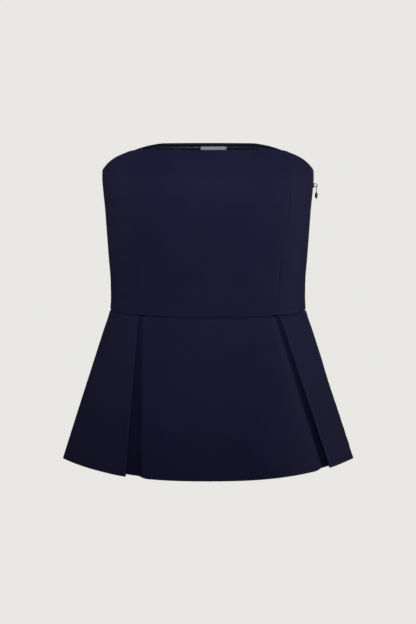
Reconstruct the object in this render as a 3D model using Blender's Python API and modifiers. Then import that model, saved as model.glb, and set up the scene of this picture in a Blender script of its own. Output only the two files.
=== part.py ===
"""Strapless peplum top, worn and hollow, in metres with +Z up and the front facing -Y.

The tables and the named sizes are millimetres, and their heights count from the waist seam. The
origin is inside the chest, on the body's axis, at the height of the underarm edge. The wearer's left,
where the zip runs, is +X.
"""

import math

import bmesh
import bpy
import numpy as np

MM = 0.001
WALL = 1.3
SEAM_GAP = 0.3
UNDERARM = 188.6
HEM = -206.0
WAIST_GAP = 0.25
CORNER_EASE = 0.6

# The worn form: each row is half of a section, front and back, as |x/a|^p + |y/b|^q = 1.
FORM_COLUMNS = ("height", "half_width", "front", "back", "front_p", "front_q", "back_p", "back_q")
FORM = (
    (225.0, 138.6, 93.0, 94.6, 2.40, 2.10, 2.30, 2.10),
    (200.0, 140.8, 103.5, 96.4, 2.45, 2.10, 2.30, 2.10),
    (180.0, 142.5, 109.6, 97.0, 2.50, 2.10, 2.30, 2.10),
    (162.0, 141.3, 111.6, 96.4, 2.50, 2.10, 2.30, 2.08),
    (138.0, 139.0, 107.6, 93.6, 2.48, 2.08, 2.28, 2.04),
    (105.0, 136.8, 100.6, 88.8, 2.40, 2.02, 2.25, 1.98),
    (72.0, 134.6, 95.4, 84.4, 2.35, 1.94, 2.22, 1.92),
    (38.0, 132.2, 92.4, 81.2, 2.30, 1.85, 2.20, 1.85),
    (15.0, 132.0, 92.6, 81.0, 2.30, 1.78, 2.20, 1.80),
    (0.0, 133.4, 94.0, 82.0, 2.30, 1.72, 2.20, 1.75),
    (-30.0, 142.8, 101.5, 89.5, 2.33, 1.60, 2.22, 1.62),
    (-70.0, 155.8, 112.0, 100.5, 2.38, 1.45, 2.26, 1.46),
    (-120.0, 172.2, 125.8, 115.0, 2.42, 1.29, 2.32, 1.30),
    (-165.0, 186.8, 138.2, 128.0, 2.46, 1.16, 2.36, 1.18),
    (-206.0, 200.0, 150.0, 140.0, 2.50, 1.05, 2.40, 1.08),
)

# Top edge: how high it stands at each share of the way from the centre to the side seam.
TOP_COLUMNS = ("share", "front", "back")
TOP = (
    (0.00, 218.3, 222.4),
    (0.33, 218.3, 222.2),
    (0.42, 218.3, 220.2),
    (0.53, 217.4, 215.4),
    (0.62, 212.8, 209.4),
    (0.70, 207.6, 203.6),
    (0.78, 201.0, 197.8),
    (0.86, 194.2, 193.0),
    (0.93, 190.2, 189.8),
    (1.00, 188.6, 188.6),
)

# Princess seams: how far each lies from the front's centre line.
PRINCESS_COLUMNS = ("height", "left", "right")
PRINCESS = (
    (220.0, 105.6, 99.3),
    (190.0, 106.2, 101.2),
    (160.0, 106.6, 102.0),
    (130.0, 106.0, 98.6),
    (110.0, 102.2, 95.0),
    (90.0, 97.6, 93.0),
    (70.0, 95.2, 92.2),
    (35.0, 94.0, 92.0),
    (0.0, 93.9, 91.9),
)

# The two knife pleats, at the waist and at the hem: where the fold lies from the centre line, how far
# it reaches under the side panel, how deep the front sinks beside it, and the widths of its floor and
# flank. side_shift is how far the side seam runs behind the widest point of the section, and turn how
# far before the side seam the panel has the column that follows that point.
PLEAT_COLUMNS = ("fold", "under", "sink", "floor", "flank", "lift", "side_shift", "turn")
PLEATS = {
    "left": {
        "waist": (93.9, 16.0, 0.0, 1.0, 12.0, 1.0, 0.0, 26.0),
        "hem": (162.5, 30.0, 4.5, 7.0, 20.0, 1.6, 50.0, 50.0),
    },
    "right": {
        "waist": (91.9, 16.0, 0.0, 1.0, 12.0, 1.0, 0.0, 28.0),
        "hem": (107.4, 34.0, 9.5, 11.0, 20.0, 2.0, 0.0, 40.0),
    },
}
PLEAT_PITCH = 1.9
LIFT_REACH = 55.0

# Back peplum's soft flutes at the hem: where each stands on the way round, its width and height.
FLUTE_COLUMNS = ("share", "width", "height")
FLUTES = ((0.24, 0.075, 6.0), (0.53, 0.060, 4.5), (0.77, 0.080, 6.5))

TAPE_DROP = 3.0
TAPE_TALL = 6.0
TAPE_THICK = 0.8
TAPE_END = 1
LABEL_X = 8.0
LABEL_WIDE = 36.0
LABEL_TALL = 18.0
LABEL_DROP = 4.8
LABEL_THICK = 0.7

ZIP_GAP = 1.6
ZIP_TOP = 181.0
ZIP_END = -46.0
ZIP_HALF_TAPE = 12.0
ZIP_TAPE_THICK = 0.8
ZIP_TAPE_DEEP = 4.9
ZIP_TAPE_EDGE = 2.0
COIL_HALF = 1.5
COIL_TOP = 2.0
SLIDER_HEIGHT = 168.0
SLIDER_BODY = (2.0, 5.2, 8.0)
SLIDER_NECK_THICK = 1.0
SLIDER_PLATE = (0.8, 2.4, 7.4)
ARCH_WIRE = 0.9
ARCH_HALF_SPAN = 2.0
ARCH_REACH = 4.0
RING_WIRE = 0.8
RING_HALF_WIDE = 1.55
RING_LONG = 4.0
LINK_END = 9.2
PULL_LONG = 18.4
DROP_RADIUS = 2.0
LINK_RADIUS = 0.55


def table_column(table, columns, name):
    """One named column of a table, with the table's first column, in rising order."""
    rows = np.array(sorted(table))
    return rows[:, 0], rows[:, columns.index(name)]


def smooth_curve(knots, values):
    """A curve through the values that never overshoots between two of them."""
    steps = np.diff(knots)
    slopes = np.diff(values) / steps
    turning = slopes[:-1] * slopes[1:] > 0
    inner = np.zeros(len(slopes) - 1)
    inner[turning] = 2 * slopes[:-1][turning] * slopes[1:][turning] / (slopes[:-1] + slopes[1:])[turning]
    tangents = np.concatenate([[slopes[0]], inner, [slopes[-1]]])

    def read(at):
        at = min(max(float(at), knots[0]), knots[-1])
        i = min(int(np.searchsorted(knots, at, side="right")) - 1, len(steps) - 1)
        t = (at - knots[i]) / steps[i]
        rise = values[i + 1] - values[i]
        bend_in = tangents[i] * steps[i] - rise
        bend_out = tangents[i + 1] * steps[i] - rise
        return values[i] + t * rise + t * (1 - t) * ((1 - t) * bend_in - t * bend_out)

    return read


FORM_CURVES = {name: smooth_curve(*table_column(FORM, FORM_COLUMNS, name)) for name in FORM_COLUMNS[1:]}
TOP_CURVES = {name: smooth_curve(*table_column(TOP, TOP_COLUMNS, name)) for name in TOP_COLUMNS[1:]}
PRINCESS_CURVES = {
    name: smooth_curve(*table_column(PRINCESS, PRINCESS_COLUMNS, name)) for name in PRINCESS_COLUMNS[1:]
}
SECTIONS = {}
SECTION_STEPS = 420


def ramp(t):
    """0 to 1 with soft ends."""
    t = min(max(t, 0.0), 1.0)
    return t * t * (3 - 2 * t)


def section(height):
    """Half of the body's outline at a height, from front centre to back centre, by arc length."""
    key = round(height, 3)
    if key not in SECTIONS:
        size = {name: curve(height) for name, curve in FORM_CURVES.items()}
        turn = np.linspace(0, math.pi / 2, SECTION_STEPS)
        quarters = []
        for face in ("front", "back"):
            x = size["half_width"] * np.sin(turn) ** (2 / size[face + "_p"])
            y = size[face] * np.cos(turn) ** (2 / size[face + "_q"])
            quarters.append((x, y))
        x = np.concatenate([quarters[0][0], quarters[1][0][-2::-1]])
        y = np.concatenate([-quarters[0][1], quarters[1][1][-2::-1]])
        arc = np.concatenate([[0.0], np.cumsum(np.hypot(np.diff(x), np.diff(y)))])
        SECTIONS[key] = {"arc": arc, "x": x, "y": y, "side": arc[SECTION_STEPS - 1], "half": arc[-1]}
    return SECTIONS[key]


def side_arc(height):
    """Arc length from the front's centre line to the widest point."""
    return section(height)["side"]


def half_arc(height):
    """Arc length from the front's centre line to the back's."""
    return section(height)["half"]


def arc_at_x(height, x):
    """Arc length from the front's centre line to a point of the front that far out."""
    form = section(height)
    return float(np.interp(x, form["x"][:SECTION_STEPS], form["arc"][:SECTION_STEPS]))


def outline_xy(height, arc):
    """A point of the whole outline; the arc is positive towards +X and runs on past the back centre."""
    form = section(height)
    around = (arc + form["half"]) % (2 * form["half"]) - form["half"]
    x = np.interp(abs(around), form["arc"], form["x"])
    y = np.interp(abs(around), form["arc"], form["y"])
    return np.array([math.copysign(x, around), y])


NORMAL_STEP = 0.8


def spot(height, arc, out):
    """A point on the form, moved out level by that much."""
    before = outline_xy(height, arc - NORMAL_STEP)
    after = outline_xy(height, arc + NORMAL_STEP)
    along = (after - before) / np.linalg.norm(after - before)
    x, y = outline_xy(height, arc) + out * np.array([along[1], -along[0]])
    return (x * MM, y * MM, (height - UNDERARM) * MM)


def new_material(name, colour, roughness, metallic=0.0):
    material = bpy.data.materials.new(name)
    material.use_nodes = True
    shader = material.node_tree.nodes["Principled BSDF"]
    shader.inputs["Base Color"].default_value = (*colour, 1.0)
    shader.inputs["Roughness"].default_value = roughness
    shader.inputs["Metallic"].default_value = metallic
    return material


def new_object(name, mesh, material, collection, parent):
    piece = bpy.data.objects.new(name, mesh)
    collection.objects.link(piece)
    piece.parent = parent
    if material:
        mesh.materials.clear()
        mesh.materials.append(material)
    return piece


def cloth(name, rows, thickness, material, collection, parent):
    """A cloth piece: a loft through rows of points on its middle surface, given its thickness."""
    shape = bmesh.new()
    lines = [[shape.verts.new(point) for point in row] for row in rows]
    for lower, upper in zip(lines, lines[1:]):
        for i in range(len(lower) - 1):
            shape.faces.new((lower[i], lower[i + 1], upper[i + 1], upper[i]))
    mesh = bpy.data.meshes.new(name)
    shape.to_mesh(mesh)
    shape.free()
    mesh.shade_smooth()
    piece = new_object(name, mesh, material, collection, parent)
    solidify = piece.modifiers.new("thickness", "SOLIDIFY")
    solidify.thickness = thickness * MM
    solidify.offset = 0.0
    solidify.use_even_offset = True
    return piece


def peplum_share(height):
    """0 at the waist seam and 1 at the hem."""
    return (-WAIST_GAP - height) / (-WAIST_GAP - HEM)


def half_gap(side, height):
    """Half of the gap at a side seam: open along the zip, and eased where the peplum turns a corner."""
    gap = SEAM_GAP / 2 + CORNER_EASE * max(peplum_share(height), 0.0)
    if side == "left":
        gap += ramp((height - ZIP_END) / 8.0) * (ZIP_GAP - SEAM_GAP) / 2
    return gap


def bodice_rows(columns, face, top_shares, arc_of, row_count):
    """Rows of a bodice panel from the waist seam to its part of the top edge."""
    rows = []
    for t in np.linspace(0, 1, row_count):
        row = []
        for i in range(columns):
            top = TOP_CURVES[face](top_shares[i])
            height = WAIST_GAP + t * (top - WAIST_GAP)
            row.append(spot(height, arc_of(height, i), -WALL / 2))
        rows.append(row)
    return rows


def front_centre_rows(columns=15, row_count=15):
    across = np.linspace(-1, 1, columns)

    def edge(height, side):
        return arc_at_x(height, PRINCESS_CURVES[side](height)) - SEAM_GAP / 2

    def arc_of(height, i):
        side = "left" if across[i] > 0 else "right"
        return across[i] * edge(height, side)

    high = max(row[0] for row in PRINCESS)
    shares = [
        abs(c) * edge(high, "left" if c > 0 else "right") / side_arc(high) for c in across
    ]
    return bodice_rows(columns, "front", shares, arc_of, row_count)


def front_side_rows(side, columns=10, row_count=15):
    """The panel from a princess seam to the side seam; across runs from right to left of the wearer."""
    across = np.linspace(0, 1, columns)
    sign = 1 if side == "left" else -1
    if side == "right":
        across = across[::-1]

    def arc_of(height, i):
        near = arc_at_x(height, PRINCESS_CURVES[side](height)) + SEAM_GAP / 2
        far = side_arc(height) - half_gap(side, height)
        return sign * (near + across[i] * (far - near))

    high = max(row[0] for row in PRINCESS)
    start = arc_at_x(high, PRINCESS_CURVES[side](high)) / side_arc(high)
    shares = [start + c * (1 - start) for c in across]
    return bodice_rows(columns, "front", shares, arc_of, row_count)


def back_rows(columns=29, row_count=15):
    across = np.linspace(0, 1, columns)

    def arc_of(height, i):
        near = side_arc(height) + half_gap("left", height)
        far = 2 * half_arc(height) - side_arc(height) - half_gap("right", height)
        return near + across[i] * (far - near)

    shares = [abs(2 * c - 1) for c in across]
    return bodice_rows(columns, "back", shares, arc_of, row_count)


def pleat_sizes(side, height):
    """One pleat's sizes at a height, between its waist and hem rows."""
    share = peplum_share(height)
    ends = PLEATS[side]
    size = {}
    for name, waist, hem in zip(PLEAT_COLUMNS, ends["waist"], ends["hem"]):
        size[name] = waist + share * (hem - waist)
    size["fold"] = arc_at_x(height, size["fold"])
    size["sink"] *= share**0.2
    size["seam"] = side_arc(height) + size["side_shift"]
    return size


def pleat_path(side, height):
    """Arc and offset of each point from the front's centre line to the side seam, through one pleat.

    The front panel passes under the fold, turns back at the pleat's root, comes forward to the fold
    and turns again into the side panel, so three layers lie over each other.
    """
    size = pleat_sizes(side, height)
    fold, root = size["fold"], size["fold"] + size["under"]
    radius = PLEAT_PITCH / 2
    bottom = size["lift"] - 2 * PLEAT_PITCH - size["sink"]
    root_low = size["lift"] - 2 * PLEAT_PITCH - 0.9 * size["sink"]
    flank_start = fold - size["floor"] - size["flank"]
    path = [(flank_start * c, 0.0) for c in np.linspace(0, 1, 8)[:-1]]
    for c in np.linspace(0, 1, 6):
        path.append((flank_start + c * size["flank"], bottom * ramp(c)))
    path.append((fold, bottom))
    path.append(((fold + root) / 2, (bottom + root_low) / 2))
    for turn in np.linspace(-90, 90, 5):
        angle = math.radians(turn)
        path.append((root + radius * math.cos(angle), root_low + radius + radius * math.sin(angle)))
    fold_low = size["lift"] - PLEAT_PITCH
    path.append(((fold + root) / 2, (fold_low + root_low + PLEAT_PITCH) / 2))
    for turn in np.linspace(-90, 90, 5):
        angle = math.radians(turn)
        path.append((fold + radius - radius * math.cos(angle), fold_low + radius + radius * math.sin(angle)))
    seam = size["seam"] - half_gap(side, height)
    start = fold + radius
    turn_arc = size["seam"] - size["turn"]
    side = [*np.linspace(start, turn_arc, 6)[1:], *np.linspace(turn_arc, seam, 5)[1:]]
    path += [(arc, size["lift"] * (1 - ramp((arc - start) / LIFT_REACH))) for arc in side]
    return path


def peplum_heights(row_count):
    return np.linspace(HEM, -WAIST_GAP, row_count)


def front_peplum_rows(row_count=13):
    rows = []
    for height in peplum_heights(row_count):
        right = [(-arc, out) for arc, out in pleat_path("right", height)[::-1]]
        path = right + pleat_path("left", height)[1:]
        rows.append([spot(height, arc, out - WALL / 2) for arc, out in path])
    return rows


def back_peplum_rows(columns=31, row_count=13):
    rows = []
    for height in peplum_heights(row_count):
        near = pleat_sizes("left", height)["seam"] + half_gap("left", height)
        far = 2 * half_arc(height) - pleat_sizes("right", height)["seam"] - half_gap("right", height)
        row = []
        for c in np.linspace(0, 1, columns):
            out = sum(tall * math.exp(-(((c - at) / wide) ** 2)) for at, wide, tall in FLUTES)
            row.append(spot(height, near + c * (far - near), out * peplum_share(height) ** 1.5 - WALL / 2))
        rows.append(row)
    return rows


def below_top(rows, column, drop):
    """The point of a panel's column line that lies that far below its top edge, by height."""
    line = np.array([row[column] for row in rows[::-1]])
    heights = line[0, 2] - line[:, 2]
    return np.array([np.interp(drop * MM, heights, line[:, axis]) for axis in range(3)])


def inside_spot(rows, across, drop, inward):
    """A point of a panel between two of its column lines, moved level towards the inside."""
    left = min(int(across), len(rows[0]) - 2)
    near, far = (below_top(rows, column, drop) for column in (left, left + 1))
    point = near + (across - left) * (far - near)
    first = max(left - (across == left), 0)
    before, after = (below_top(rows, column, drop) for column in (first, left + 1))
    along = (after - before)[:2] / np.linalg.norm((after - before)[:2])
    point[:2] -= inward * MM * np.array([along[1], -along[0]])
    return tuple(point)


def grip_tape_rows():
    """The tape follows the back panel's own points, below its top edge."""
    panel = back_rows()
    inward = WALL / 2 + SEAM_GAP + TAPE_THICK / 2
    columns = range(TAPE_END, len(panel[0]) - TAPE_END)
    drops = (TAPE_DROP + TAPE_TALL, TAPE_DROP)
    return [[inside_spot(panel, column, drop, inward) for column in columns] for drop in drops]


def label_rows():
    """The label follows the back panel's points too, inside the tape."""
    panel = back_rows()
    inward = WALL / 2 + SEAM_GAP + TAPE_THICK + SEAM_GAP + LABEL_THICK / 2
    middle = len(panel[0]) // 2
    wide = math.dist(below_top(panel, middle, LABEL_DROP), below_top(panel, middle + 1, LABEL_DROP)) / MM
    start = middle - (LABEL_X + LABEL_WIDE / 2) / wide
    stop = middle - (LABEL_X - LABEL_WIDE / 2) / wide
    columns = [start, *range(math.ceil(start), math.ceil(stop)), stop]
    drops = np.linspace(LABEL_DROP + LABEL_TALL, LABEL_DROP, 5)
    return [[inside_spot(panel, column, drop, inward) for column in columns] for drop in drops]


def zip_tape_profile(height):
    """The tape's cross section, counter-clockwise: distance from the seam, and depth below the wall's
    outer face. Below the slider the closed coil stands up in the middle."""
    slider_foot = SLIDER_HEIGHT - SLIDER_BODY[2] / 2
    coil = ramp((slider_foot - 0.4 - height) / 0.8)
    coil_top = -ZIP_TAPE_DEEP + coil * (ZIP_TAPE_DEEP - COIL_TOP)
    deep, edge, half = ZIP_TAPE_DEEP, ZIP_TAPE_EDGE, ZIP_HALF_TAPE
    bend = (deep + edge) / 2
    left = [(-half, -edge), (-half * 0.6, -bend), (-half * 0.3, -deep), (-COIL_HALF - 0.2, -deep)]
    coil_face = [(-COIL_HALF, coil_top), (COIL_HALF, coil_top)]
    right = [(-across, out) for across, out in left[::-1]]
    inner = [(across, out - ZIP_TAPE_THICK) for across, out in (*right[::-1][:3], *left[::-1][1:])]
    return left + coil_face + right + inner


def zip_tape(material, collection, parent):
    """The tape behind the left side seam, lofted down the seam with a closed end at each end."""
    slider_foot = SLIDER_HEIGHT - SLIDER_BODY[2] / 2
    heights = list(np.linspace(ZIP_END + 2, slider_foot - 1.2, 15))
    heights += [slider_foot - 0.4, SLIDER_HEIGHT + 3, ZIP_TOP]
    shape = bmesh.new()
    rings = []
    for height in heights:
        seam = side_arc(height)
        if height < -WAIST_GAP:
            seam = pleat_sizes("left", height)["seam"]
        ring = [spot(height, seam + across, out) for across, out in zip_tape_profile(height)]
        rings.append([shape.verts.new(point) for point in ring])
    count = len(rings[0])
    for lower, upper in zip(rings, rings[1:]):
        for i in range(count):
            j = (i + 1) % count
            shape.faces.new((lower[i], lower[j], upper[j], upper[i]))
    shape.faces.new(rings[0])
    shape.faces.new(rings[-1])
    bmesh.ops.triangulate(shape, faces=[face for face in shape.faces if len(face.verts) > 4])
    bmesh.ops.recalc_face_normals(shape, faces=shape.faces)
    mesh = bpy.data.meshes.new("zip_tape")
    shape.to_mesh(mesh)
    shape.free()
    return new_object("zip_tape", mesh, material, collection, parent)


def slider_faces():
    """How far out the side stands at least, and at most, along the slider."""
    reach = SLIDER_BODY[2] / 2
    heights = (SLIDER_HEIGHT - reach, SLIDER_HEIGHT, SLIDER_HEIGHT + reach)
    faces = [outline_xy(height, side_arc(height))[0] for height in heights]
    return min(faces), max(faces)


def box(name, centre, size, collection, material=None):
    """A box of a size in millimetres about a centre in millimetres, in the slider's own frame."""
    shape = bmesh.new()
    bmesh.ops.create_cube(shape, size=1.0)
    bmesh.ops.scale(shape, vec=[side * MM for side in size], verts=shape.verts)
    bmesh.ops.translate(shape, vec=[place * MM for place in centre], verts=shape.verts)
    mesh = bpy.data.meshes.new(name)
    shape.to_mesh(mesh)
    shape.free()
    return new_object(name, mesh, material, collection, None)


def wire(name, points, thickness, cyclic, collection):
    """A round wire through points in millimetres, as a welded mesh."""
    curve = bpy.data.curves.new(name, "CURVE")
    curve.dimensions = "3D"
    curve.bevel_depth = thickness / 2 * MM
    curve.bevel_resolution = 2
    curve.use_fill_caps = True
    spline = curve.splines.new("POLY")
    spline.points.add(len(points) - 1)
    for point, place in zip(spline.points, points):
        point.co = (*(side * MM for side in place), 1.0)
    spline.use_cyclic_u = cyclic
    guide = bpy.data.objects.new(name + "_path", curve)
    collection.objects.link(guide)
    bpy.context.view_layer.update()
    drawn = guide.evaluated_get(bpy.context.evaluated_depsgraph_get())
    mesh = bpy.data.meshes.new_from_object(drawn)
    bpy.data.objects.remove(guide)
    shape = bmesh.new()
    shape.from_mesh(mesh)
    bmesh.ops.remove_doubles(shape, verts=shape.verts, dist=1e-6)
    bmesh.ops.recalc_face_normals(shape, faces=shape.faces)
    shape.to_mesh(mesh)
    shape.free()
    mesh.name = name
    return new_object(name, mesh, None, collection, None)


def rounded_turn(centre, radius, start, end, steps):
    """Points of an arc in a plane, from one angle to another in degrees."""
    angles = np.radians(np.linspace(start, end, steps))
    return [(centre[0] + radius * math.cos(a), centre[1] + radius * math.sin(a)) for a in angles]


def join(piece, others):
    """Joins helper shapes to a piece, and keeps them as unrendered guides under it."""
    for other in others:
        union = piece.modifiers.new("join " + other.name, "BOOLEAN")
        union.operation = "UNION"
        union.object = other
        other.hide_render = True
        other.display_type = "WIRE"
        other.parent = piece


def zip_slider(material, collection, cutters, parent):
    """The slider: a body behind the seam, a neck through the slit, a plate outside and its arch."""
    thick, wide, tall = SLIDER_BODY
    gap = SEAM_GAP
    plate_thick, plate_wide, plate_tall = SLIDER_PLATE
    inmost, outmost = slider_faces()
    body_face = inmost - outmost - WALL - gap
    body = box("zip_slider", (body_face - thick / 2, 0, 0), (thick, wide, tall), collection, material)
    neck_out = gap + plate_thick / 2
    neck_in = body_face - thick / 2
    neck = box(
        "slider_neck", ((neck_out + neck_in) / 2, 0, 0),
        (neck_out - neck_in, SLIDER_NECK_THICK, tall * 0.7), cutters,
    )
    plate = box("slider_plate", (gap + plate_thick / 2, 0, 0), SLIDER_PLATE, cutters)
    corner = 1.1
    low, high = gap + plate_thick / 2, gap + plate_thick + ARCH_REACH
    side = ARCH_HALF_SPAN
    path = [(low, -side)]
    path += rounded_turn((high - corner, -side + corner), corner, -90, 0, 4)
    path += rounded_turn((high - corner, side - corner), corner, 0, 90, 4)
    path += [(low, side)]
    arch = wire("slider_arch", [(x, 0, z) for x, z in path], ARCH_WIRE, False, cutters)
    body.parent = parent
    body.location = (outmost * MM, 0, (SLIDER_HEIGHT - UNDERARM) * MM)
    join(body, (neck, plate, arch))
    return body


def hinge_out():
    """The pull's axis, from the side's outer face: it hangs in the arch, clear of the wire."""
    return SEAM_GAP + SLIDER_PLATE[0] + ARCH_REACH - ARCH_WIRE / 2 - SEAM_GAP - RING_WIRE / 2


def pull_profile():
    """The link and its drop, from the link's top down to the tip: radius and height."""
    profile = [(0.0, -RING_LONG + 0.2), (LINK_RADIUS, -RING_LONG + 0.2), (LINK_RADIUS, -LINK_END)]
    tall = PULL_LONG - LINK_END
    for t in np.linspace(0.12, 0.94, 8):
        swell = math.sin(math.pi * t**0.85) ** 0.75
        profile.append((LINK_RADIUS * (1 - t) + (DROP_RADIUS - LINK_RADIUS * (1 - t)) * swell, -LINK_END - t * tall))
    profile.append((0.0, -PULL_LONG))
    return profile


def turned(name, profile, steps, collection):
    """A turned shape: its profile run round the Z axis."""
    mesh = bpy.data.meshes.new(name)
    edges = [(i, i + 1) for i in range(len(profile) - 1)]
    mesh.from_pydata([(radius * MM, 0, height * MM) for radius, height in profile], edges, [])
    piece = new_object(name, mesh, None, collection, None)
    screw = piece.modifiers.new("turn", "SCREW")
    screw.steps = steps
    screw.render_steps = steps
    screw.use_merge_vertices = True
    screw.merge_threshold = 1e-5
    return piece


def zip_pull(material, collection, cutters, parent):
    """The pull: a wire ring through the arch, a link and a drop. Its origin is on its axis."""
    half, long, corner = RING_HALF_WIDE, RING_LONG, 0.6
    path = rounded_turn((half - corner, -corner), corner, 90, 0, 4)
    path += rounded_turn((half - corner, -long + corner), corner, 0, -90, 4)
    path += rounded_turn((-half + corner, -long + corner), corner, 270, 180, 4)
    path += rounded_turn((-half + corner, -corner), corner, 180, 90, 4)
    pull = wire("zip_pull", [(0, y, z) for y, z in path], RING_WIRE, True, collection)
    pull.data.materials.append(material)
    drop = turned("pull_drop", pull_profile(), 14, cutters)
    pull.parent = parent
    pull.location = ((slider_faces()[1] + hinge_out()) * MM, 0, (SLIDER_HEIGHT - UNDERARM) * MM)
    join(pull, (drop,))
    return pull


def main():
    for old in list(bpy.data.objects):
        bpy.data.objects.remove(old)
    top = bpy.data.collections.new("peplum_top")
    cutters = bpy.data.collections.new("cutters")
    bpy.context.scene.collection.children.link(top)
    bpy.context.scene.collection.children.link(cutters)
    root = bpy.data.objects.new("peplum_top_frame", None)
    top.objects.link(root)

    crepe = new_material("navy crepe", (0.017, 0.016, 0.042), 0.62)
    tape = new_material("grip tape", (0.03, 0.03, 0.05), 0.35)
    woven = new_material("woven label", (0.25, 0.25, 0.26), 0.7)
    zip_cloth = new_material("zip tape", (0.012, 0.012, 0.028), 0.7)
    metal = new_material("dark zip metal", (0.03, 0.03, 0.035), 0.3, 1.0)

    panels = {
        "bodice_front_centre": front_centre_rows(),
        "bodice_front_side_left": front_side_rows("left"),
        "bodice_front_side_right": front_side_rows("right"),
        "bodice_back": back_rows(),
        "peplum_front": front_peplum_rows(),
        "peplum_back": back_peplum_rows(),
    }
    for name, rows in panels.items():
        cloth(name, rows, WALL, crepe, top, root)
    cloth("grip_tape_back", grip_tape_rows(), TAPE_THICK, tape, top, root)
    cloth("neck_label", label_rows(), LABEL_THICK, woven, top, root)
    zip_tape(zip_cloth, top, root)
    zip_slider(metal, top, cutters, root)
    zip_pull(metal, top, cutters, root)


main()
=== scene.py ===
# %% [markdown]
# A strapless navy peplum top, worn and hollow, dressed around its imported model. The model gives the
# place of every piece. This lesson makes the cloth that shows: thin panels with turned edges, pressed
# pleats and soft creases, then the tape, the label and the zip, then the finishes and the studio.

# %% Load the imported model
import math

import bmesh
import bpy
import numpy as np
from mathutils import Matrix, Vector


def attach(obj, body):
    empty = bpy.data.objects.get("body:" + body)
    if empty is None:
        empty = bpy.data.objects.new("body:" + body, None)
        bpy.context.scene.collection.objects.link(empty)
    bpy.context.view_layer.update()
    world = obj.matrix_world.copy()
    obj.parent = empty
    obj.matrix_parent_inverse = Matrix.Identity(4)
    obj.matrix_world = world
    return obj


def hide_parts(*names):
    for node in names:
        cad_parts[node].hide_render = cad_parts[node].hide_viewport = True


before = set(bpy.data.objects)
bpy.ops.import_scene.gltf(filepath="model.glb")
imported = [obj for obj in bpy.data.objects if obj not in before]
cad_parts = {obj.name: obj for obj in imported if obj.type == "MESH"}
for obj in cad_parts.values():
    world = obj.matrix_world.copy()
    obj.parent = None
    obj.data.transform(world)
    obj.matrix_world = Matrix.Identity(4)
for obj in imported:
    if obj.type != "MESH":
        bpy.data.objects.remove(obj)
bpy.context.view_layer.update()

# %% [markdown]
# The camera comes first, because everything is judged through it. The photograph was taken from the
# front with a long lens, a little above the waist, so the neck opens as a thin sliver. A long lens is
# its focal length in picture heights times the sensor's long side.

# %% The photograph's camera
PICTURE = (416, 624)
FOCAL_PIXELS = 1774
SENSOR = 36.0
AIM = Vector((0.0, 0.0, -0.1926))
CAMERA_DISTANCE = 2.413
CAMERA_RISE = math.radians(6.9)

camera_data = bpy.data.cameras.new("photo camera")
camera_data.sensor_fit = "AUTO"
camera_data.sensor_width = SENSOR
camera_data.lens = FOCAL_PIXELS / max(PICTURE) * SENSOR
camera_data.clip_end = 100.0
camera = bpy.data.objects.new("photo camera", camera_data)
bpy.context.scene.collection.objects.link(camera)
toward_camera = Vector((0.0, -math.cos(CAMERA_RISE), math.sin(CAMERA_RISE)))
camera.location = AIM + toward_camera * CAMERA_DISTANCE
camera.rotation_euler = (-toward_camera).to_track_quat("-Z", "Y").to_euler()
bpy.context.scene.camera = camera
print("lens in millimetres:", round(camera_data.lens, 2))

# %% [markdown]
# A fitted top takes its shape from the body's sections, so the form is a short table of them, one row
# for each height above the waist seam. Each half of a section is a superellipse: its power says how
# square the corner is. The front of the chest is flatter than the back, and the hem is almost a wedge.

# %% The form's table, in millimetres
MM = 0.001
UNDERARM = 188.6
HEM = -206.0
FORM_COLUMNS = ("height", "half_width", "front", "back", "front_p", "front_q", "back_p", "back_q")
FORM = (
    (225.0, 138.6, 93.0, 94.6, 2.40, 2.10, 2.30, 2.10),
    (200.0, 140.8, 103.5, 96.4, 2.45, 2.10, 2.30, 2.10),
    (180.0, 142.5, 109.6, 97.0, 2.50, 2.10, 2.30, 2.10),
    (162.0, 141.3, 111.6, 96.4, 2.50, 2.10, 2.30, 2.08),
    (138.0, 139.0, 107.6, 93.6, 2.48, 2.08, 2.28, 2.04),
    (105.0, 136.8, 100.6, 88.8, 2.40, 2.02, 2.25, 1.98),
    (72.0, 134.6, 95.4, 84.4, 2.35, 1.94, 2.22, 1.92),
    (38.0, 132.2, 92.4, 81.2, 2.30, 1.85, 2.20, 1.85),
    (15.0, 132.0, 92.6, 81.0, 2.30, 1.78, 2.20, 1.80),
    (0.0, 133.4, 94.0, 82.0, 2.30, 1.72, 2.20, 1.75),
    (-30.0, 142.8, 101.5, 89.5, 2.33, 1.60, 2.22, 1.62),
    (-70.0, 155.8, 112.0, 100.5, 2.38, 1.45, 2.26, 1.46),
    (-120.0, 172.2, 125.8, 115.0, 2.42, 1.29, 2.32, 1.30),
    (-165.0, 186.8, 138.2, 128.0, 2.46, 1.16, 2.36, 1.18),
    (-206.0, 200.0, 150.0, 140.0, 2.50, 1.05, 2.40, 1.08),
)
print("sections in the form:", len(FORM))

# %% [markdown]
# Between the rows a value follows a smooth curve that never overshoots, the same one that the model's
# solids follow, so the cloth lies on them.


# %% Curves through a table
def table_column(table, columns, name):
    """One named column of a table, with the table's first column, in rising order."""
    rows = np.array(sorted(table))
    return rows[:, 0], rows[:, columns.index(name)]


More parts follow.
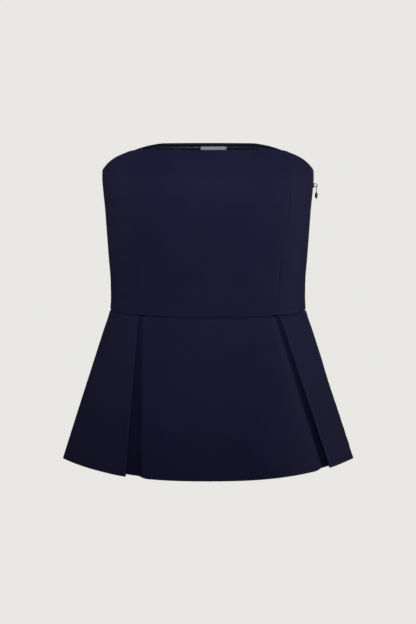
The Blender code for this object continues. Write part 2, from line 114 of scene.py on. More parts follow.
def smooth_curve(knots, values):
    """A curve through the values that never overshoots between two of them; it reads arrays."""
    steps = np.diff(knots)
    slopes = np.diff(values) / steps
    turning = slopes[:-1] * slopes[1:] > 0
    inner = np.zeros(len(slopes) - 1)
    inner[turning] = 2 * slopes[:-1][turning] * slopes[1:][turning] / (slopes[:-1] + slopes[1:])[turning]
    tangents = np.concatenate([[slopes[0]], inner, [slopes[-1]]])

    def read(at):
        at = np.clip(at, knots[0], knots[-1])
        i = np.clip(np.searchsorted(knots, at, side="right") - 1, 0, len(steps) - 1)
        t = (at - knots[i]) / steps[i]
        rise = values[i + 1] - values[i]
        bend_in = tangents[i] * steps[i] - rise
        bend_out = tangents[i + 1] * steps[i] - rise
        return values[i] + t * rise + t * (1 - t) * ((1 - t) * bend_in - t * bend_out)

    return read


def table_curves(table, columns):
    return {name: smooth_curve(*table_column(table, columns, name)) for name in columns[1:]}


form_curves = table_curves(FORM, FORM_COLUMNS)
print("half width at the waist:", round(float(form_curves["half_width"](0.0)), 1))

# %% [markdown]
# Cloth is cut by lengths along its surface, so a place on the form is a height and an arc length from
# the centre front, positive towards the wearer's left. The sections are worked out once, a millimetre
# apart, and a place is read between them.

# %% Sections, and a place on the form
LEVELS = np.arange(HEM - 2, 227.0, 1.0)
SHARES = np.linspace(0, 1, 1201)
TURN = np.linspace(0, math.pi / 2, 700)


def quarter(height, face):
    """One quarter of a section, from its centre line to its widest point, with its arc length."""
    size = {name: curve(height) for name, curve in form_curves.items()}
    x = size["half_width"] * np.sin(TURN) ** (2 / size[face + "_p"])
    y = size[face] * np.cos(TURN) ** (2 / size[face + "_q"])
    arc = np.concatenate([[0.0], np.cumsum(np.hypot(np.diff(x), np.diff(y)))])
    return np.interp(SHARES * arc[-1], arc, x), np.interp(SHARES * arc[-1], arc, y), arc[-1]


front_quarters = [quarter(height, "front") for height in LEVELS]
back_quarters = [quarter(height, "back") for height in LEVELS]
FORM_X = np.array([[q[0] for q in front_quarters], [q[0][::-1] for q in back_quarters]])
FORM_Y = np.array([[-q[1] for q in front_quarters], [q[1][::-1] for q in back_quarters]])
SIDE_ARCS = np.array([q[2] for q in front_quarters])
HALF_ARCS = SIDE_ARCS + np.array([q[2] for q in back_quarters])


def side_arc(height):
    """Arc length from the centre front to the widest point."""
    return np.interp(height, LEVELS, SIDE_ARCS)


def half_arc(height):
    """Arc length from the centre front to the centre back."""
    return np.interp(height, LEVELS, HALF_ARCS)


def outline(height, arc):
    """Level place on the form; the arc runs on past the centre back."""
    height, arc = np.broadcast_arrays(np.asarray(height, float), np.asarray(arc, float))
    side, half = side_arc(height), half_arc(height)
    around = (arc + half) % (2 * half) - half
    reach = np.abs(around)
    behind = reach > side
    share = np.where(behind, (reach - side) / (half - side), reach / side)
    row = np.clip(height - LEVELS[0], 0, len(LEVELS) - 1.001)
    column = np.clip(share * (len(SHARES) - 1), 0, len(SHARES) - 1.001)
    i, j, k = row.astype(int), column.astype(int), behind.astype(int)
    f, g = row - i, column - j

    def read(grid):
        near = (1 - g) * grid[k, i, j] + g * grid[k, i, j + 1]
        above = (1 - g) * grid[k, i + 1, j] + g * grid[k, i + 1, j + 1]
        return (1 - f) * near + f * above

    return np.stack([np.copysign(read(FORM_X), around), read(FORM_Y)], -1)


NORMAL_STEP = 0.8


def place(height, arc, out):
    """A point in millimetres on the form, moved out level, with z counted from the underarm."""
    height, arc, out = np.broadcast_arrays(*(np.asarray(v, float) for v in (height, arc, out)))
    along = outline(height, arc + NORMAL_STEP) - outline(height, arc - NORMAL_STEP)
    along /= np.linalg.norm(along, axis=-1, keepdims=True)
    level = outline(height, arc) + out[..., None] * np.stack([along[..., 1], -along[..., 0]], -1)
    return np.concatenate([level, (height - UNDERARM)[..., None]], -1)


def arc_at_x(height, x):
    """Arc length from the centre front to a point of the front that far out, at one height."""
    row = int(round(height - LEVELS[0]))
    return float(np.interp(x, FORM_X[0, row], SHARES * SIDE_ARCS[row]))


def ramp(t):
    """0 to 1 with soft ends."""
    t = np.clip(t, 0.0, 1.0)
    return t * t * (3 - 2 * t)


print("round the waist, millimetres:", round(2 * float(half_arc(0.0))))

# %% [markdown]
# The top edge and the princess seams are tables too. The edge stands highest across the chest and the
# back and falls to the underarms; the two princess seams are not quite alike, as in the photograph.

# %% Edge and seam tables
TOP_COLUMNS = ("share", "front", "back")
TOP = (
    (0.00, 218.3, 222.4),
    (0.33, 218.3, 222.2),
    (0.42, 218.3, 220.2),
    (0.53, 217.4, 215.4),
    (0.62, 212.8, 209.4),
    (0.70, 207.6, 203.6),
    (0.78, 201.0, 197.8),
    (0.86, 194.2, 193.0),
    (0.93, 190.2, 189.8),
    (1.00, 188.6, 188.6),
)
PRINCESS_COLUMNS = ("height", "left", "right")
PRINCESS = (
    (220.0, 105.6, 99.3),
    (190.0, 106.2, 101.2),
    (160.0, 106.6, 102.0),
    (130.0, 106.0, 98.6),
    (110.0, 102.2, 95.0),
    (90.0, 97.6, 93.0),
    (70.0, 95.2, 92.2),
    (35.0, 94.0, 92.0),
    (0.0, 93.9, 91.9),
)
top_curves = table_curves(TOP, TOP_COLUMNS)
princess_curves = table_curves(PRINCESS, PRINCESS_COLUMNS)
PRINCESS_ARCS = {
    side: np.array([arc_at_x(height, curve(max(height, 0.0))) for height in LEVELS])
    for side, curve in princess_curves.items()
}


def princess_arc(side, height):
    return np.interp(height, LEVELS, PRINCESS_ARCS[side])


BUST = 162.0
bust_arcs = [round(float(princess_arc(side, BUST)), 1) for side in PRINCESS_ARCS]
print("princess seams at the bust, from the centre:", bust_arcs)

# %% [markdown]
# Real cloth never ends at a seam: it turns back on itself and lies flat inside as an allowance. A raw,
# square edge is what gives a stand-in away. So each panel carries stations across its edges that run
# from the cut edge of the allowance, round a tight fold, and out onto the face. The same stations
# serve princess seams, side seams, the top edge and the hem.

# %% Stations across a turned edge
CLOTH = 0.45
FOLD = 0.32
FACE_STEPS = (0.32, 0.7, 1.2, 1.9, 2.9, 4.3, 6.0)
FOLD_ANGLES = (-60, -30, 0, 30, 60)
SEAM_ALLOWANCE = 9.0
TOP_ALLOWANCE = 8.0
HEM_ALLOWANCE = 20.0


class Stations:
    """Places across a panel: which edge each counts from, how far, how deep, and if it's turned in."""

    def __init__(self, near, middle, far):
        rows = [(-1, *step) for step in near]
        rows += [(0, share, 0.0, False) for share in middle]
        rows += [(1, *step) for step in far[::-1]]
        self.edge = np.array([row[0] for row in rows])
        self.value = np.array([row[1] for row in rows])
        self.depth = np.array([row[2] for row in rows])
        self.turned = np.array([row[3] for row in rows])
        self.under = self.turned & (self.depth <= -2 * FOLD)

    def spread(self, start, stop, value=None):
        """Where each station lies between two fold lines."""
        value = self.value if value is None else value
        margin = FACE_STEPS[-1]
        inner = start + margin + value * (stop - start - 2 * margin)
        return np.where(self.edge < 0, start + value, np.where(self.edge > 0, stop - value, inner))


def turned_edge(allowance, steps=4):
    """Steps from an allowance's cut edge round the fold and onto the face: distance, depth, turned."""
    edge = [(at, -2 * FOLD, True) for at in np.linspace(allowance, FOLD, steps)]
    for angle in np.radians(FOLD_ANGLES):
        edge.append((FOLD * (1 - math.cos(angle)), FOLD * (math.sin(angle) - 1), True))
    return edge + [(at, 0.0, False) for at in FACE_STEPS]


def between(count):
    """Even shares between two edges' last steps."""
    return np.linspace(0, 1, count + 2)[1:-1]


print("steps across one turned edge:", len(turned_edge(SEAM_ALLOWANCE)))

# %% [markdown]
# Worn cloth is never quite smooth. Each main crease is placed as a soft trough or ridge: a
# straight run from one place to another that fades out at both ends. They are uneven in length, depth
# and spacing. The photograph shows hollows under the bust, faint drag lines beside the seams and slow
# waves in the peplum, and the back, which it hides, gets creases of the same kind.

# %% Creases, in millimetres
# Each row: from height, from arc, to height, to arc, width, depth
FRONT_CREASES = (
    (104.0, -64.0, 36.0, -84.0, 17.0, -1.5),
    (98.0, 70.0, 40.0, 88.0, 15.0, -1.2),
    (66.0, -52.0, 28.0, -30.0, 12.0, -0.5),
    (150.0, -150.0, 112.0, -104.0, 9.0, -0.8),
    (142.0, 152.0, 104.0, 112.0, 8.0, -0.7),
    (120.0, -158.0, 92.0, -112.0, 7.0, -0.45),
    (24.0, -156.0, 12.0, -104.0, 5.0, -0.6),
    (19.0, 110.0, 27.0, 158.0, 5.5, -0.5),
    (12.0, -74.0, 17.0, -26.0, 5.0, -0.3),
    (14.0, 20.0, 10.0, 62.0, 4.5, -0.25),
    (196.0, -60.0, 176.0, -8.0, 16.0, 0.5),
    (190.0, 6.0, 172.0, 66.0, 18.0, 0.6),
    (84.0, 4.0, 30.0, 12.0, 20.0, 0.5),
)
BACK_CREASES = (
    (150.0, 196.0, 116.0, 236.0, 9.0, -0.8),
    (44.0, 188.0, 30.0, 238.0, 6.0, -0.8),
    (24.0, 202.0, 19.0, 262.0, 5.0, -0.6),
    (58.0, 292.0, 46.0, 340.0, 7.0, -0.7),
    (34.0, 276.0, 27.0, 322.0, 5.5, -0.9),
    (16.0, 322.0, 21.0, 372.0, 5.0, -0.6),
    (128.0, 402.0, 96.0, 362.0, 9.0, -0.7),
    (46.0, 420.0, 33.0, 374.0, 6.0, -0.7),
    (112.0, 268.0, 70.0, 306.0, 14.0, 0.6),
    (176.0, 240.0, 150.0, 298.0, 16.0, -0.5),
    (170.0, 380.0, 146.0, 330.0, 15.0, -0.45),
)
PEPLUM_CREASES = (
    (-34.0, 8.0, -214.0, 16.0, 21.0, -1.6),
    (-40.0, -56.0, -214.0, -74.0, 24.0, 1.1),
    (-30.0, 50.0, -214.0, 74.0, 20.0, 1.0),
    (-12.0, -150.0, -120.0, -172.0, 10.0, -0.8),
    (-10.0, 140.0, -96.0, 160.0, 9.0, -0.6),
    (-8.0, -44.0, -52.0, -50.0, 7.0, -0.4),
    (-8.0, 30.0, -46.0, 34.0, 6.0, -0.35),
    (-60.0, 205.0, -214.0, 232.0, 18.0, -1.3),
)
CREASE_FADE = 0.35


def creases(table, height, arc):
    """How far the creases move a place out."""
    out = np.zeros(np.broadcast(height, arc).shape)
    for from_height, from_arc, to_height, to_arc, width, depth in table:
        rise, run = to_height - from_height, to_arc - from_arc
        long = math.hypot(rise, run)
        up, across = height - from_height, arc - from_arc
        t = (up * rise + across * run) / long**2
        aside = (up * run - across * rise) / long
        out += depth * ramp(t / CREASE_FADE) * ramp((1 - t) / CREASE_FADE) * np.exp(-((aside / width) ** 2))
    return out


print("creases by hand:", len(FRONT_CREASES) + len(BACK_CREASES) + len(PEPLUM_CREASES))

# %% [markdown]
# A panel is a loft: rows of points on the middle of the cloth, joined by faces. Solidify gives it its
# thickness. Where an allowance meets another at a corner the faces are left out, as a dressmaker trims
# them. The mesh keeps two things for the finish: a UV map in metres of cloth, and how near each point
# lies to a pressed fold.


# %% From rows of points to cloth
def grain_uv(points):
    """Metres of cloth across and up, counted from the panel's middle column and lowest row."""
    across = np.linalg.norm(np.diff(points, axis=1), axis=-1)
    across = np.concatenate([np.zeros((len(points), 1)), np.cumsum(across, axis=1)], axis=1)
    across -= across[:, [across.shape[1] // 2]]
    up = np.linalg.norm(np.diff(points, axis=0), axis=-1)
    up = np.concatenate([np.zeros((1, points.shape[1])), np.cumsum(up, axis=0)])
    return np.stack([across, up], -1) * MM


def mesh_object(name, mesh):
    piece = bpy.data.objects.new(name, mesh)
    bpy.context.scene.collection.objects.link(piece)
    return piece


def finished(piece, sharp_degrees=48):
    """Applies a piece's modifiers: the result is one plain mesh, smooth but for its sharp edges."""
    bpy.context.view_layer.update()
    mesh = bpy.data.meshes.new_from_object(
        piece.evaluated_get(bpy.context.evaluated_depsgraph_get()), preserve_all_data_layers=True,
        depsgraph=bpy.context.evaluated_depsgraph_get(),
    )
    piece.modifiers.clear()
    piece.data = mesh
    mesh.name = piece.name
    mesh.shade_smooth()
    mesh.set_sharp_from_angle(angle=math.radians(sharp_degrees))
    return piece


def cloth_panel(name, points, pressed, turned_rows, turned_columns, thickness=CLOTH):
    """A cloth piece through a grid of points in millimetres, finished as a thin shell."""
    rows, columns = points.shape[:2]
    index = np.arange(rows * columns).reshape(rows, columns)
    corners = np.stack([index[:-1, :-1], index[:-1, 1:], index[1:, 1:], index[1:, :-1]], -1)
    row_turn = turned_rows[:-1] | turned_rows[1:]
    column_turn = turned_columns[:-1] | turned_columns[1:]
    faces = corners[~(row_turn[:, None] & column_turn[None, :])]
    used = np.unique(faces)
    renumber = np.zeros(rows * columns, int)
    renumber[used] = np.arange(len(used))
    uv = grain_uv(points)
    mesh = bpy.data.meshes.new(name)
    mesh.from_pydata((points.reshape(-1, 3)[used] * MM).tolist(), [], renumber[faces].tolist())
    layer = mesh.uv_layers.new(name="grain")
    loops = np.empty(len(mesh.loops), int)
    mesh.loops.foreach_get("vertex_index", loops)
    layer.data.foreach_set("uv", uv.reshape(-1, 2)[used][loops].ravel())
    mark = mesh.attributes.new("pressed", "FLOAT", "POINT")
    nearness = np.broadcast_to(pressed, (rows, columns)).reshape(-1)[used]
    mark.data.foreach_set("value", nearness.astype(np.float32))
    mesh.update()
    piece = mesh_object(name, mesh)
    solidify = piece.modifiers.new("cloth thickness", "SOLIDIFY")
    solidify.thickness = thickness * MM
    solidify.offset = 0.0
    # The inner faces take the second material; on the crepe panels that is the inside's painted shade.
    solidify.material_offset = 1
    finished(piece)
    return piece


# %% [markdown]
# The bodice has four panels: the centre front, two side fronts and the back. Each is the space between
# two seam lines. Along a seam the face dips a little and is pressed flatter, and the thread pulls it
# into small uneven puckers, which is what makes a seam read as sewn. The back also has two darts, each
# a fine groove that dies out below the shoulder blade.

# %% Seams, puckers and darts
SEAM_GAP = 0.26
DIP_WIDE = 2.6
DIP_DEEP = 0.55
WAIST_DIP_WIDE = 7.0
WAIST_DIP_DEEP = 0.75
WAIST_EDGE = 0.35
PUCKER_REACH = 7.0
PUCKER_DEEP = 0.16
# Each wave: its length, how much the seam's phase turns it, and its share
PUCKER_WAVES = ((2.3, 1.0, 1.0), (1.37, 2.1, 0.7))
PUCKER_REST, PUCKER_SWING = 0.5, 0.3
OTHER_SEAM = 37.0
PRESSED_REACH = 2.4
DART_SHARES = (0.27, 0.73)
DART_TOP = 152.0
DART_FADE = 60.0
DART_DEEP = 0.75
DART_HALF = 0.8
DART_STEPS = (-3.2, -1.6, -0.8, -0.35, 0.0, 0.35, 0.8, 1.6, 3.2)
BODICE_ROWS = 76
TRIM_CLEAR = 2
NARROWEST = 0.05


def dip(distance, wide=DIP_WIDE, deep=DIP_DEEP):
    """How much the face sinks towards a seam."""
    return -deep * np.clip(1 - distance / wide, 0, 1) ** 2


def puckers(distance, along, phase):
    """Small waves along a seam, uneven because two wave lengths beat."""
    wave = sum(share * np.sin(along / length + turn * phase) for length, turn, share in PUCKER_WAVES)
    return -PUCKER_DEEP * np.exp(-distance / PUCKER_REACH) * (PUCKER_REST + PUCKER_SWING * wave)


def pressed_near(distance):
    return np.exp(-((distance / PRESSED_REACH) ** 2))


def bodice_panel(name, near, far, back, table, columns, darts=()):
    """A bodice panel between two seam lines, given as arcs by height."""
    edge = turned_edge(SEAM_ALLOWANCE)
    across = Stations(edge, columns, edge)
    up = Stations(turned_edge(TOP_ALLOWANCE), between(BODICE_ROWS), turned_edge(TOP_ALLOWANCE))
    high = max(row[0] for row in PRINCESS)
    place_across = across.spread(near(high), far(high))
    if back:
        share = np.abs(place_across - half_arc(high)) / (half_arc(high) - side_arc(high))
        top = top_curves["back"](np.clip(share, 0, 1))
    else:
        share = np.abs(place_across) / side_arc(high)
        top = top_curves["front"](np.clip(share, 0, 1))
    height = np.array([up.spread(WAIST_EDGE, edge_top) for edge_top in top]).T
    to_end = np.minimum(height - WAIST_EDGE, top - height)
    narrow = np.clip((to_end - TOP_ALLOWANCE - TRIM_CLEAR) / SEAM_ALLOWANCE, NARROWEST, 1.0)
    value = np.where(across.under, FOLD + (across.value - FOLD) * narrow, across.value)
    start, stop = near(height), far(height)
    arc = across.spread(start, stop, value)
    to_seam = np.minimum(arc - start, stop - arc)
    along_seam = height + np.where(arc - start < stop - arc, 0.0, OTHER_SEAM)
    out = -CLOTH / 2 + across.depth + dip(to_seam) + puckers(to_seam, along_seam, len(name))
    out += dip(height - WAIST_EDGE, WAIST_DIP_WIDE, WAIST_DIP_DEEP) + creases(table, height, arc)
    pressed = pressed_near(to_end)
    for dart in darts:
        line = start + FACE_STEPS[-1] + dart * (stop - start - 2 * FACE_STEPS[-1])
        fade = ramp((DART_TOP - height) / DART_FADE)
        out -= DART_DEEP * fade * np.exp(-np.abs(arc - line) / DART_HALF)
    points = place(height, arc, out)
    points = lay_behind(points, np.broadcast_to(up.depth[:, None], arc.shape))
    return cloth_panel(name, points, pressed, up.turned, across.turned)


def lay_behind(points, depth):
    """Moves each point along the level normal of its own row, for what is turned in at top or hem."""
    along = np.gradient(points[..., :2], axis=1)
    along /= np.linalg.norm(along, axis=-1, keepdims=True)
    points[..., :2] += depth[..., None] * np.stack([along[..., 1], -along[..., 0]], -1)
    return points


# %% [markdown]
# The zip closes the left side seam from the underarm to a little below the waist. It is a concealed
# one, so below its slider the two folded edges meet like a plain seam, and at the slider and above it
# they part just enough for the slider's neck.

# %% Seam lines
ZIP_PARTING = 0.75
ZIP_CLOSED = 0.12
ZIP_FOOT = -46.0
ZIP_FOOT_EASE = 8.0
PARTING_START = 12.0
PARTING_EASE = 9.0
SLIDER_HEIGHT = 168.0
EDGE_ROUND = FOLD + CLOTH / 2
CORNER_REACH = 1.2
CORNER_SHARE = 0.85
CORNER_MOST = 0.7
SIDE_SHIFTS = {"left": 50.0, "right": 0.0}


def peplum_share(height):
    """0 at the waist seam and 1 at the hem."""
    return np.clip(height / HEM, 0, 1)


def side_seam(side, height):
    """A side seam's arc: the widest point, but the left one slants to the back below the waist."""
    return side_arc(height) + SIDE_SHIFTS[side] * peplum_share(height)


def half_gap(side, height):
    """Half the space between the folded edges of a side seam: they just touch, also round a corner."""
    seam = side_seam(side, height)
    after = outline(height, seam + CORNER_REACH) - outline(height, seam)
    before = outline(height, seam) - outline(height, seam - CORNER_REACH)
    turn = np.arctan2(after[..., 1], after[..., 0]) - np.arctan2(before[..., 1], before[..., 0])
    turn = np.clip(np.abs(turn) / 2, 0, CORNER_MOST)
    gap = SEAM_GAP / 4 + CORNER_SHARE * EDGE_ROUND * ((1 + np.sin(turn)) / np.cos(turn) - 1)
    if side == "left":
        gap = gap + (ZIP_CLOSED - SEAM_GAP / 2) * ramp((height - ZIP_FOOT) / ZIP_FOOT_EASE)
        over = height - SLIDER_HEIGHT + PARTING_START
        gap = gap + (ZIP_PARTING - ZIP_CLOSED) * ramp(over / PARTING_EASE)
    return gap


def seam_line(side, sign, gap):
    """A princess seam's fold line as an arc by height."""
    return lambda height: sign * princess_arc(side, height) + gap


def side_line(side, sign):
    """The front's fold line at a side seam."""
    return lambda height: sign * (side_arc(height) - half_gap(side, height))


CENTRE_COLUMNS = 80
SIDE_COLUMNS = 22
seam_half = SEAM_GAP / 2
centre_edges = seam_line("right", -1, seam_half), seam_line("left", 1, -seam_half)
FRONT_PANELS = {
    "front_centre_panel": (*centre_edges, CENTRE_COLUMNS),
    "side_panel_left": (seam_line("left", 1, seam_half), side_line("left", 1), SIDE_COLUMNS),
    "side_panel_right": (side_line("right", -1), seam_line("right", -1, -seam_half), SIDE_COLUMNS),
}
bodice = {}
for name, (near, far, count) in FRONT_PANELS.items():
    bodice[name] = bodice_panel(name, near, far, False, FRONT_CREASES, between(count))

# %% The back bodice with its darts
BACK_WIDE = 330.0
BACK_COLUMNS = 112
DART_CLEAR = 5.0 / BACK_WIDE
dart_columns = [dart + step / BACK_WIDE for dart in DART_SHARES for step in DART_STEPS]
plain_columns = [
    share for share in between(BACK_COLUMNS) if min(abs(share - dart) for dart in DART_SHARES) > DART_CLEAR
]
bodice["back_panel"] = bodice_panel(
    "back_panel",
    lambda height: side_arc(height) + half_gap("left", height),
    lambda height: 2 * half_arc(height) - side_arc(height) - half_gap("right", height),
    True, BACK_CREASES, sorted(dart_columns + plain_columns), DART_SHARES,
)

# %% [markdown]
# The peplum's front is one wide piece with two knife pleats. A pleat is a path, not a bump: the front
# passes under the fold, turns at the root, comes forward and turns again into the side, so three
# layers lie over each other and the dark wedge beside the fold is real depth. The folds lie where the
# solids have them, but the slope down into each pleat starts earlier and is softer than on the solids.

# %% The pleats' path
PLEAT_COLUMNS = ("fold", "under", "sink", "floor", "flank", "lift", "turn")
PLEATS = {
    "left": {
        "waist": (93.9, 16.0, 0.0, 1.0, 17.0, 1.0, 26.0),
        "hem": (162.5, 30.0, 4.5, 6.0, 27.0, 1.6, 50.0),
    },
    "right": {
        "waist": (91.9, 16.0, 0.0, 1.0, 15.0, 1.0, 28.0),
        "hem": (107.4, 34.0, 9.5, 10.0, 23.0, 2.0, 40.0),
    },
}
PLEAT_PITCH = 1.9
SINK_POWER = 0.2
ROOT_SINK = 0.9
HEM_CLEAR = 1
LIFT_REACH = 55.0
TURN_ANGLES = np.radians(np.linspace(-90, 90, 9))


def pleat_sizes(side, height):
    """One pleat's sizes at a height, between its waist and hem rows."""
    share = float(peplum_share(height))
    ends = PLEATS[side]
    size = {}
    for name, waist, hem in zip(PLEAT_COLUMNS, ends["waist"], ends["hem"]):
        size[name] = waist + share * (hem - waist)
    low = math.floor(height)
    lower, upper = arc_at_x(low, size["fold"]), arc_at_x(low + 1, size["fold"])
    size["fold"] = lower + (height - low) * (upper - lower)
    size["sink"] *= share**SINK_POWER
    size["seam"] = float(side_seam(side, height))
    return size


def hem_room(height):
    """How much of a side allowance is left near the hem, where it is trimmed to clear the turned-up edge."""
    return np.clip((height - HEM - HEM_ALLOWANCE - HEM_CLEAR) / SEAM_ALLOWANCE, NARROWEST, 1.0)


def pleat_path(side, height):
    """Arc, offset, distance to the pressed fold, and turned flag from the centre to the side seam."""
    size = pleat_sizes(side, height)
    fold, root = size["fold"], size["fold"] + size["under"]
    radius = PLEAT_PITCH / 2
    bottom = size["lift"] - 2 * PLEAT_PITCH - size["sink"]
    root_low = size["lift"] - 2 * PLEAT_PITCH - ROOT_SINK * size["sink"]
    fold_low = size["lift"] - PLEAT_PITCH
    flank_start = fold - size["floor"] - size["flank"]
    path = [(arc, 0.0) for arc in np.linspace(0, flank_start, 34)[:-1]]
    path += [(flank_start + c * size["flank"], bottom * ramp(c)) for c in np.linspace(0, 1, 13)]
    path += [(arc, bottom) for arc in np.linspace(fold - size["floor"], fold, 4)[1:]]
    path += [(fold + c * (root - fold), bottom + c * (root_low - bottom)) for c in between(5)]
    path += [(root + radius * math.cos(a), root_low + radius + radius * math.sin(a)) for a in TURN_ANGLES]
    upper = root_low + PLEAT_PITCH
    path += [(root + c * (fold - root), upper + c * (fold_low - upper)) for c in between(5)]
    path += [
        (fold + radius - radius * math.cos(a), fold_low + radius + radius * math.sin(a)) for a in TURN_ANGLES
    ]
    seam = size["seam"] - float(half_gap(side, height))
    start, margin = fold + radius, FACE_STEPS[-1]
    turn_arc = size["seam"] - size["turn"]
    flat = [*np.linspace(start, turn_arc, 20)[1:], *np.linspace(turn_arc, seam - margin, 16)[1:-1]]
    edge = turned_edge(SEAM_ALLOWANCE)[::-1]
    narrow = float(hem_room(height))
    flat += [seam - at for at, deep, turned in edge if not turned]
    turned_part = [(seam - at, deep) for at, deep, turned in edge if turned and deep > -2 * FOLD]
    under = [(seam - FOLD - (at - FOLD) * narrow, deep) for at, deep, turned in edge if deep <= -2 * FOLD]
    lifted = [(arc, size["lift"] * (1 - float(ramp((arc - start) / LIFT_REACH)))) for arc in flat]
    path += lifted + turned_part + under
    arc, out = np.array(path).T
    turned_columns = np.arange(len(path)) >= len(path) - len(turned_part) - len(under)
    out = out + dip(seam - arc) * (arc > start)
    lap = ramp((arc - flank_start) / size["flank"]) * (1 - ramp((arc - start) / LIFT_REACH)) * size["lift"]
    return arc, out, lap, np.abs(arc - fold), turned_columns


print("points along half of the pleated path:", len(pleat_path("left", -100.0)[0]))

# %% [markdown]
# At the waist the peplum is seamed under the bodice's folded edge. Its cloth sinks in the last few
# millimetres and runs up behind the bodice as its allowance, so the seam is a real groove with a
# shadow in it and no slit shows. At the hem the cloth turns up inside for two centimetres.

# %% Rows of the peplum, from the turned-up hem to the allowance behind the bodice
LAP_EASE = 8.0
LAP_END = -1.0
# Each row: height, and how far the cloth sinks there
WAIST_ROLL = (
    (-8.0, 0.0),
    (-5.5, 0.0),
    (-4.2, 0.03),
    (-3.2, 0.12),
    (-2.5, 0.32),
    (-2.1, 0.62),
    (-1.85, 1.02),
    (-1.65, 1.5),
    (-1.5, 1.95),
    (-1.25, 2.35),
    (-0.7, 2.55),
    (0.6, 2.5),
    (3.0, 1.9),
    (6.0, 1.5),
    (9.0, 1.35),
)
hem_rows = [(HEM + at, deep, turned) for at, deep, turned in turned_edge(HEM_ALLOWANCE, 6)]
plain_rows = np.linspace(HEM + FACE_STEPS[-1], WAIST_ROLL[0][0], 68)[1:-1]
peplum_rows = hem_rows + [(height, 0.0, False) for height in plain_rows]
peplum_rows += [(row[0], 0.0, False) for row in WAIST_ROLL]
row_heights = np.array([row[0] for row in peplum_rows])
row_depths = np.array([row[1] for row in peplum_rows])
row_sinks = np.interp(row_heights, *np.array(WAIST_ROLL).T)
row_turned = np.array([row[2] for row in peplum_rows])
waist_in = ramp((row_heights + LAP_EASE) / (LAP_EASE + LAP_END))
row_pressed = np.maximum(pressed_near(row_heights - HEM), pressed_near(np.minimum(row_heights, 0.0)))
print("rows of the peplum:", len(peplum_rows))


def peplum_cloth(name, arcs, outs, laps, near_fold, turned_columns, table):
    """A peplum piece from one path for each row."""
    height = np.broadcast_to(row_heights[:, None], arcs.shape)
    out = outs - CLOTH / 2 + creases(table, height, arcs)
    out = out - waist_in[:, None] * laps - row_sinks[:, None]
    points = lay_behind(place(height, arcs, out), np.broadcast_to(row_depths[:, None], arcs.shape))
    pressed = np.maximum(pressed_near(near_fold), row_pressed[:, None])
    return cloth_panel(name, points, pressed, row_turned, turned_columns)


# %% The front peplum
def whole_path(height):
    """The right side's path, mirrored, and then the left side's."""
    right, left = pleat_path("right", height), pleat_path("left", height)
    arc = np.concatenate([-right[0][::-1], left[0][1:]])
    return [arc, *(np.concatenate([r[::-1], l[1:]]) for r, l in zip(right[1:], left[1:]))]


def flat_rows():
    """One path for each row; the turned-up hem and the allowance repeat the path beside them."""
    paths = [whole_path(min(height, 0.0)) for height in row_heights]
    return [np.array(part) for part in zip(*paths)]


front_arc, front_out, front_lap, front_fold, front_turned = flat_rows()
peplum = {}
peplum["peplum_front_cloth"] = peplum_cloth(
    "peplum_front_cloth", front_arc, front_out, front_lap, front_fold, front_turned[0], PEPLUM_CREASES,
)

# %% [markdown]
# The back peplum is one plain piece that hangs in three soft flutes, deepest at the hem. The
# photograph hides it; the flutes are what such a cut does.

# %% The back peplum
# Each flute: its place as a share of the width, its width and its depth
FLUTES = ((0.24, 0.075, 6.0), (0.53, 0.060, 4.5), (0.77, 0.080, 6.5))
FLUTE_POWER = 1.5
BACK_PEPLUM_CREASES = (
    (-10.0, 236.0, -70.0, 250.0, 7.0, -0.6),
    (-10.0, 300.0, -58.0, 302.0, 6.0, -0.5),
    (-12.0, 352.0, -92.0, 372.0, 9.0, -0.7),
)
back_columns = Stations(turned_edge(SEAM_ALLOWANCE), between(140), turned_edge(SEAM_ALLOWANCE))


def back_path(height):
    """Arc and offset of each station of the back peplum at a height."""
    height = min(height, 0.0)
    near = pleat_sizes("left", height)["seam"] + float(half_gap("left", height))
    far = 2 * float(half_arc(height)) - pleat_sizes("right", height)["seam"]
    far -= float(half_gap("right", height))
    under = FOLD + (back_columns.value - FOLD) * hem_room(height)
    arc = back_columns.spread(near, far, np.where(back_columns.under, under, back_columns.value))
    c = (arc - near) / (far - near)
    wave = sum(tall * np.exp(-(((c - at) / wide) ** 2)) for at, wide, tall in FLUTES)
    to_seam = np.minimum(arc - near, far - arc)
    return arc, wave * peplum_share(height) ** FLUTE_POWER + back_columns.depth + dip(to_seam), to_seam


back_arc, back_out, back_seam = (np.array(part) for part in zip(*(back_path(h) for h in row_heights)))
peplum["peplum_back_cloth"] = peplum_cloth(
    "peplum_back_cloth", back_arc, back_out, np.zeros_like(back_arc), back_seam, back_columns.turned,
    BACK_PEPLUM_CREASES,
)

# %% [markdown]
# What repeats along a line is made by Geometry Nodes: stitches, the zip's coil and the grip tape. Each
# starts from a guide, a chain of points that carries the outward direction at each point. A helper
# hands the tree its inputs by their socket identifiers, reads the result as a plain mesh and drops the
# modifier.


# %% Guides and trees
def guide_line(name, points, outward):
    """A chain of edges through points in millimetres, with the outward direction kept on each."""
    mesh = bpy.data.meshes.new(name)
    mesh.from_pydata((np.asarray(points) * MM).tolist(), [(i, i + 1) for i in range(len(points) - 1)], [])
    kept = mesh.attributes.new("outward", "FLOAT_VECTOR", "POINT")
    kept.data.foreach_set("vector", np.asarray(outward, np.float32).ravel())
    return mesh_object(name, mesh)


def new_tree(name, inputs):
    """An empty Geometry Nodes tree with named inputs: name, socket type and starting value."""
    tree = bpy.data.node_groups.new(name, "GeometryNodeTree")
    tree.interface.new_socket("Guide", in_out="INPUT", socket_type="NodeSocketGeometry")
    for title, kind, value in inputs:
        socket = tree.interface.new_socket(title, in_out="INPUT", socket_type=kind)
        if value is not None:
            socket.default_value = value
    tree.interface.new_socket("Geometry", in_out="OUTPUT", socket_type="NodeSocketGeometry")
    return tree, tree.nodes.new("NodeGroupInput"), tree.nodes.new("NodeGroupOutput")


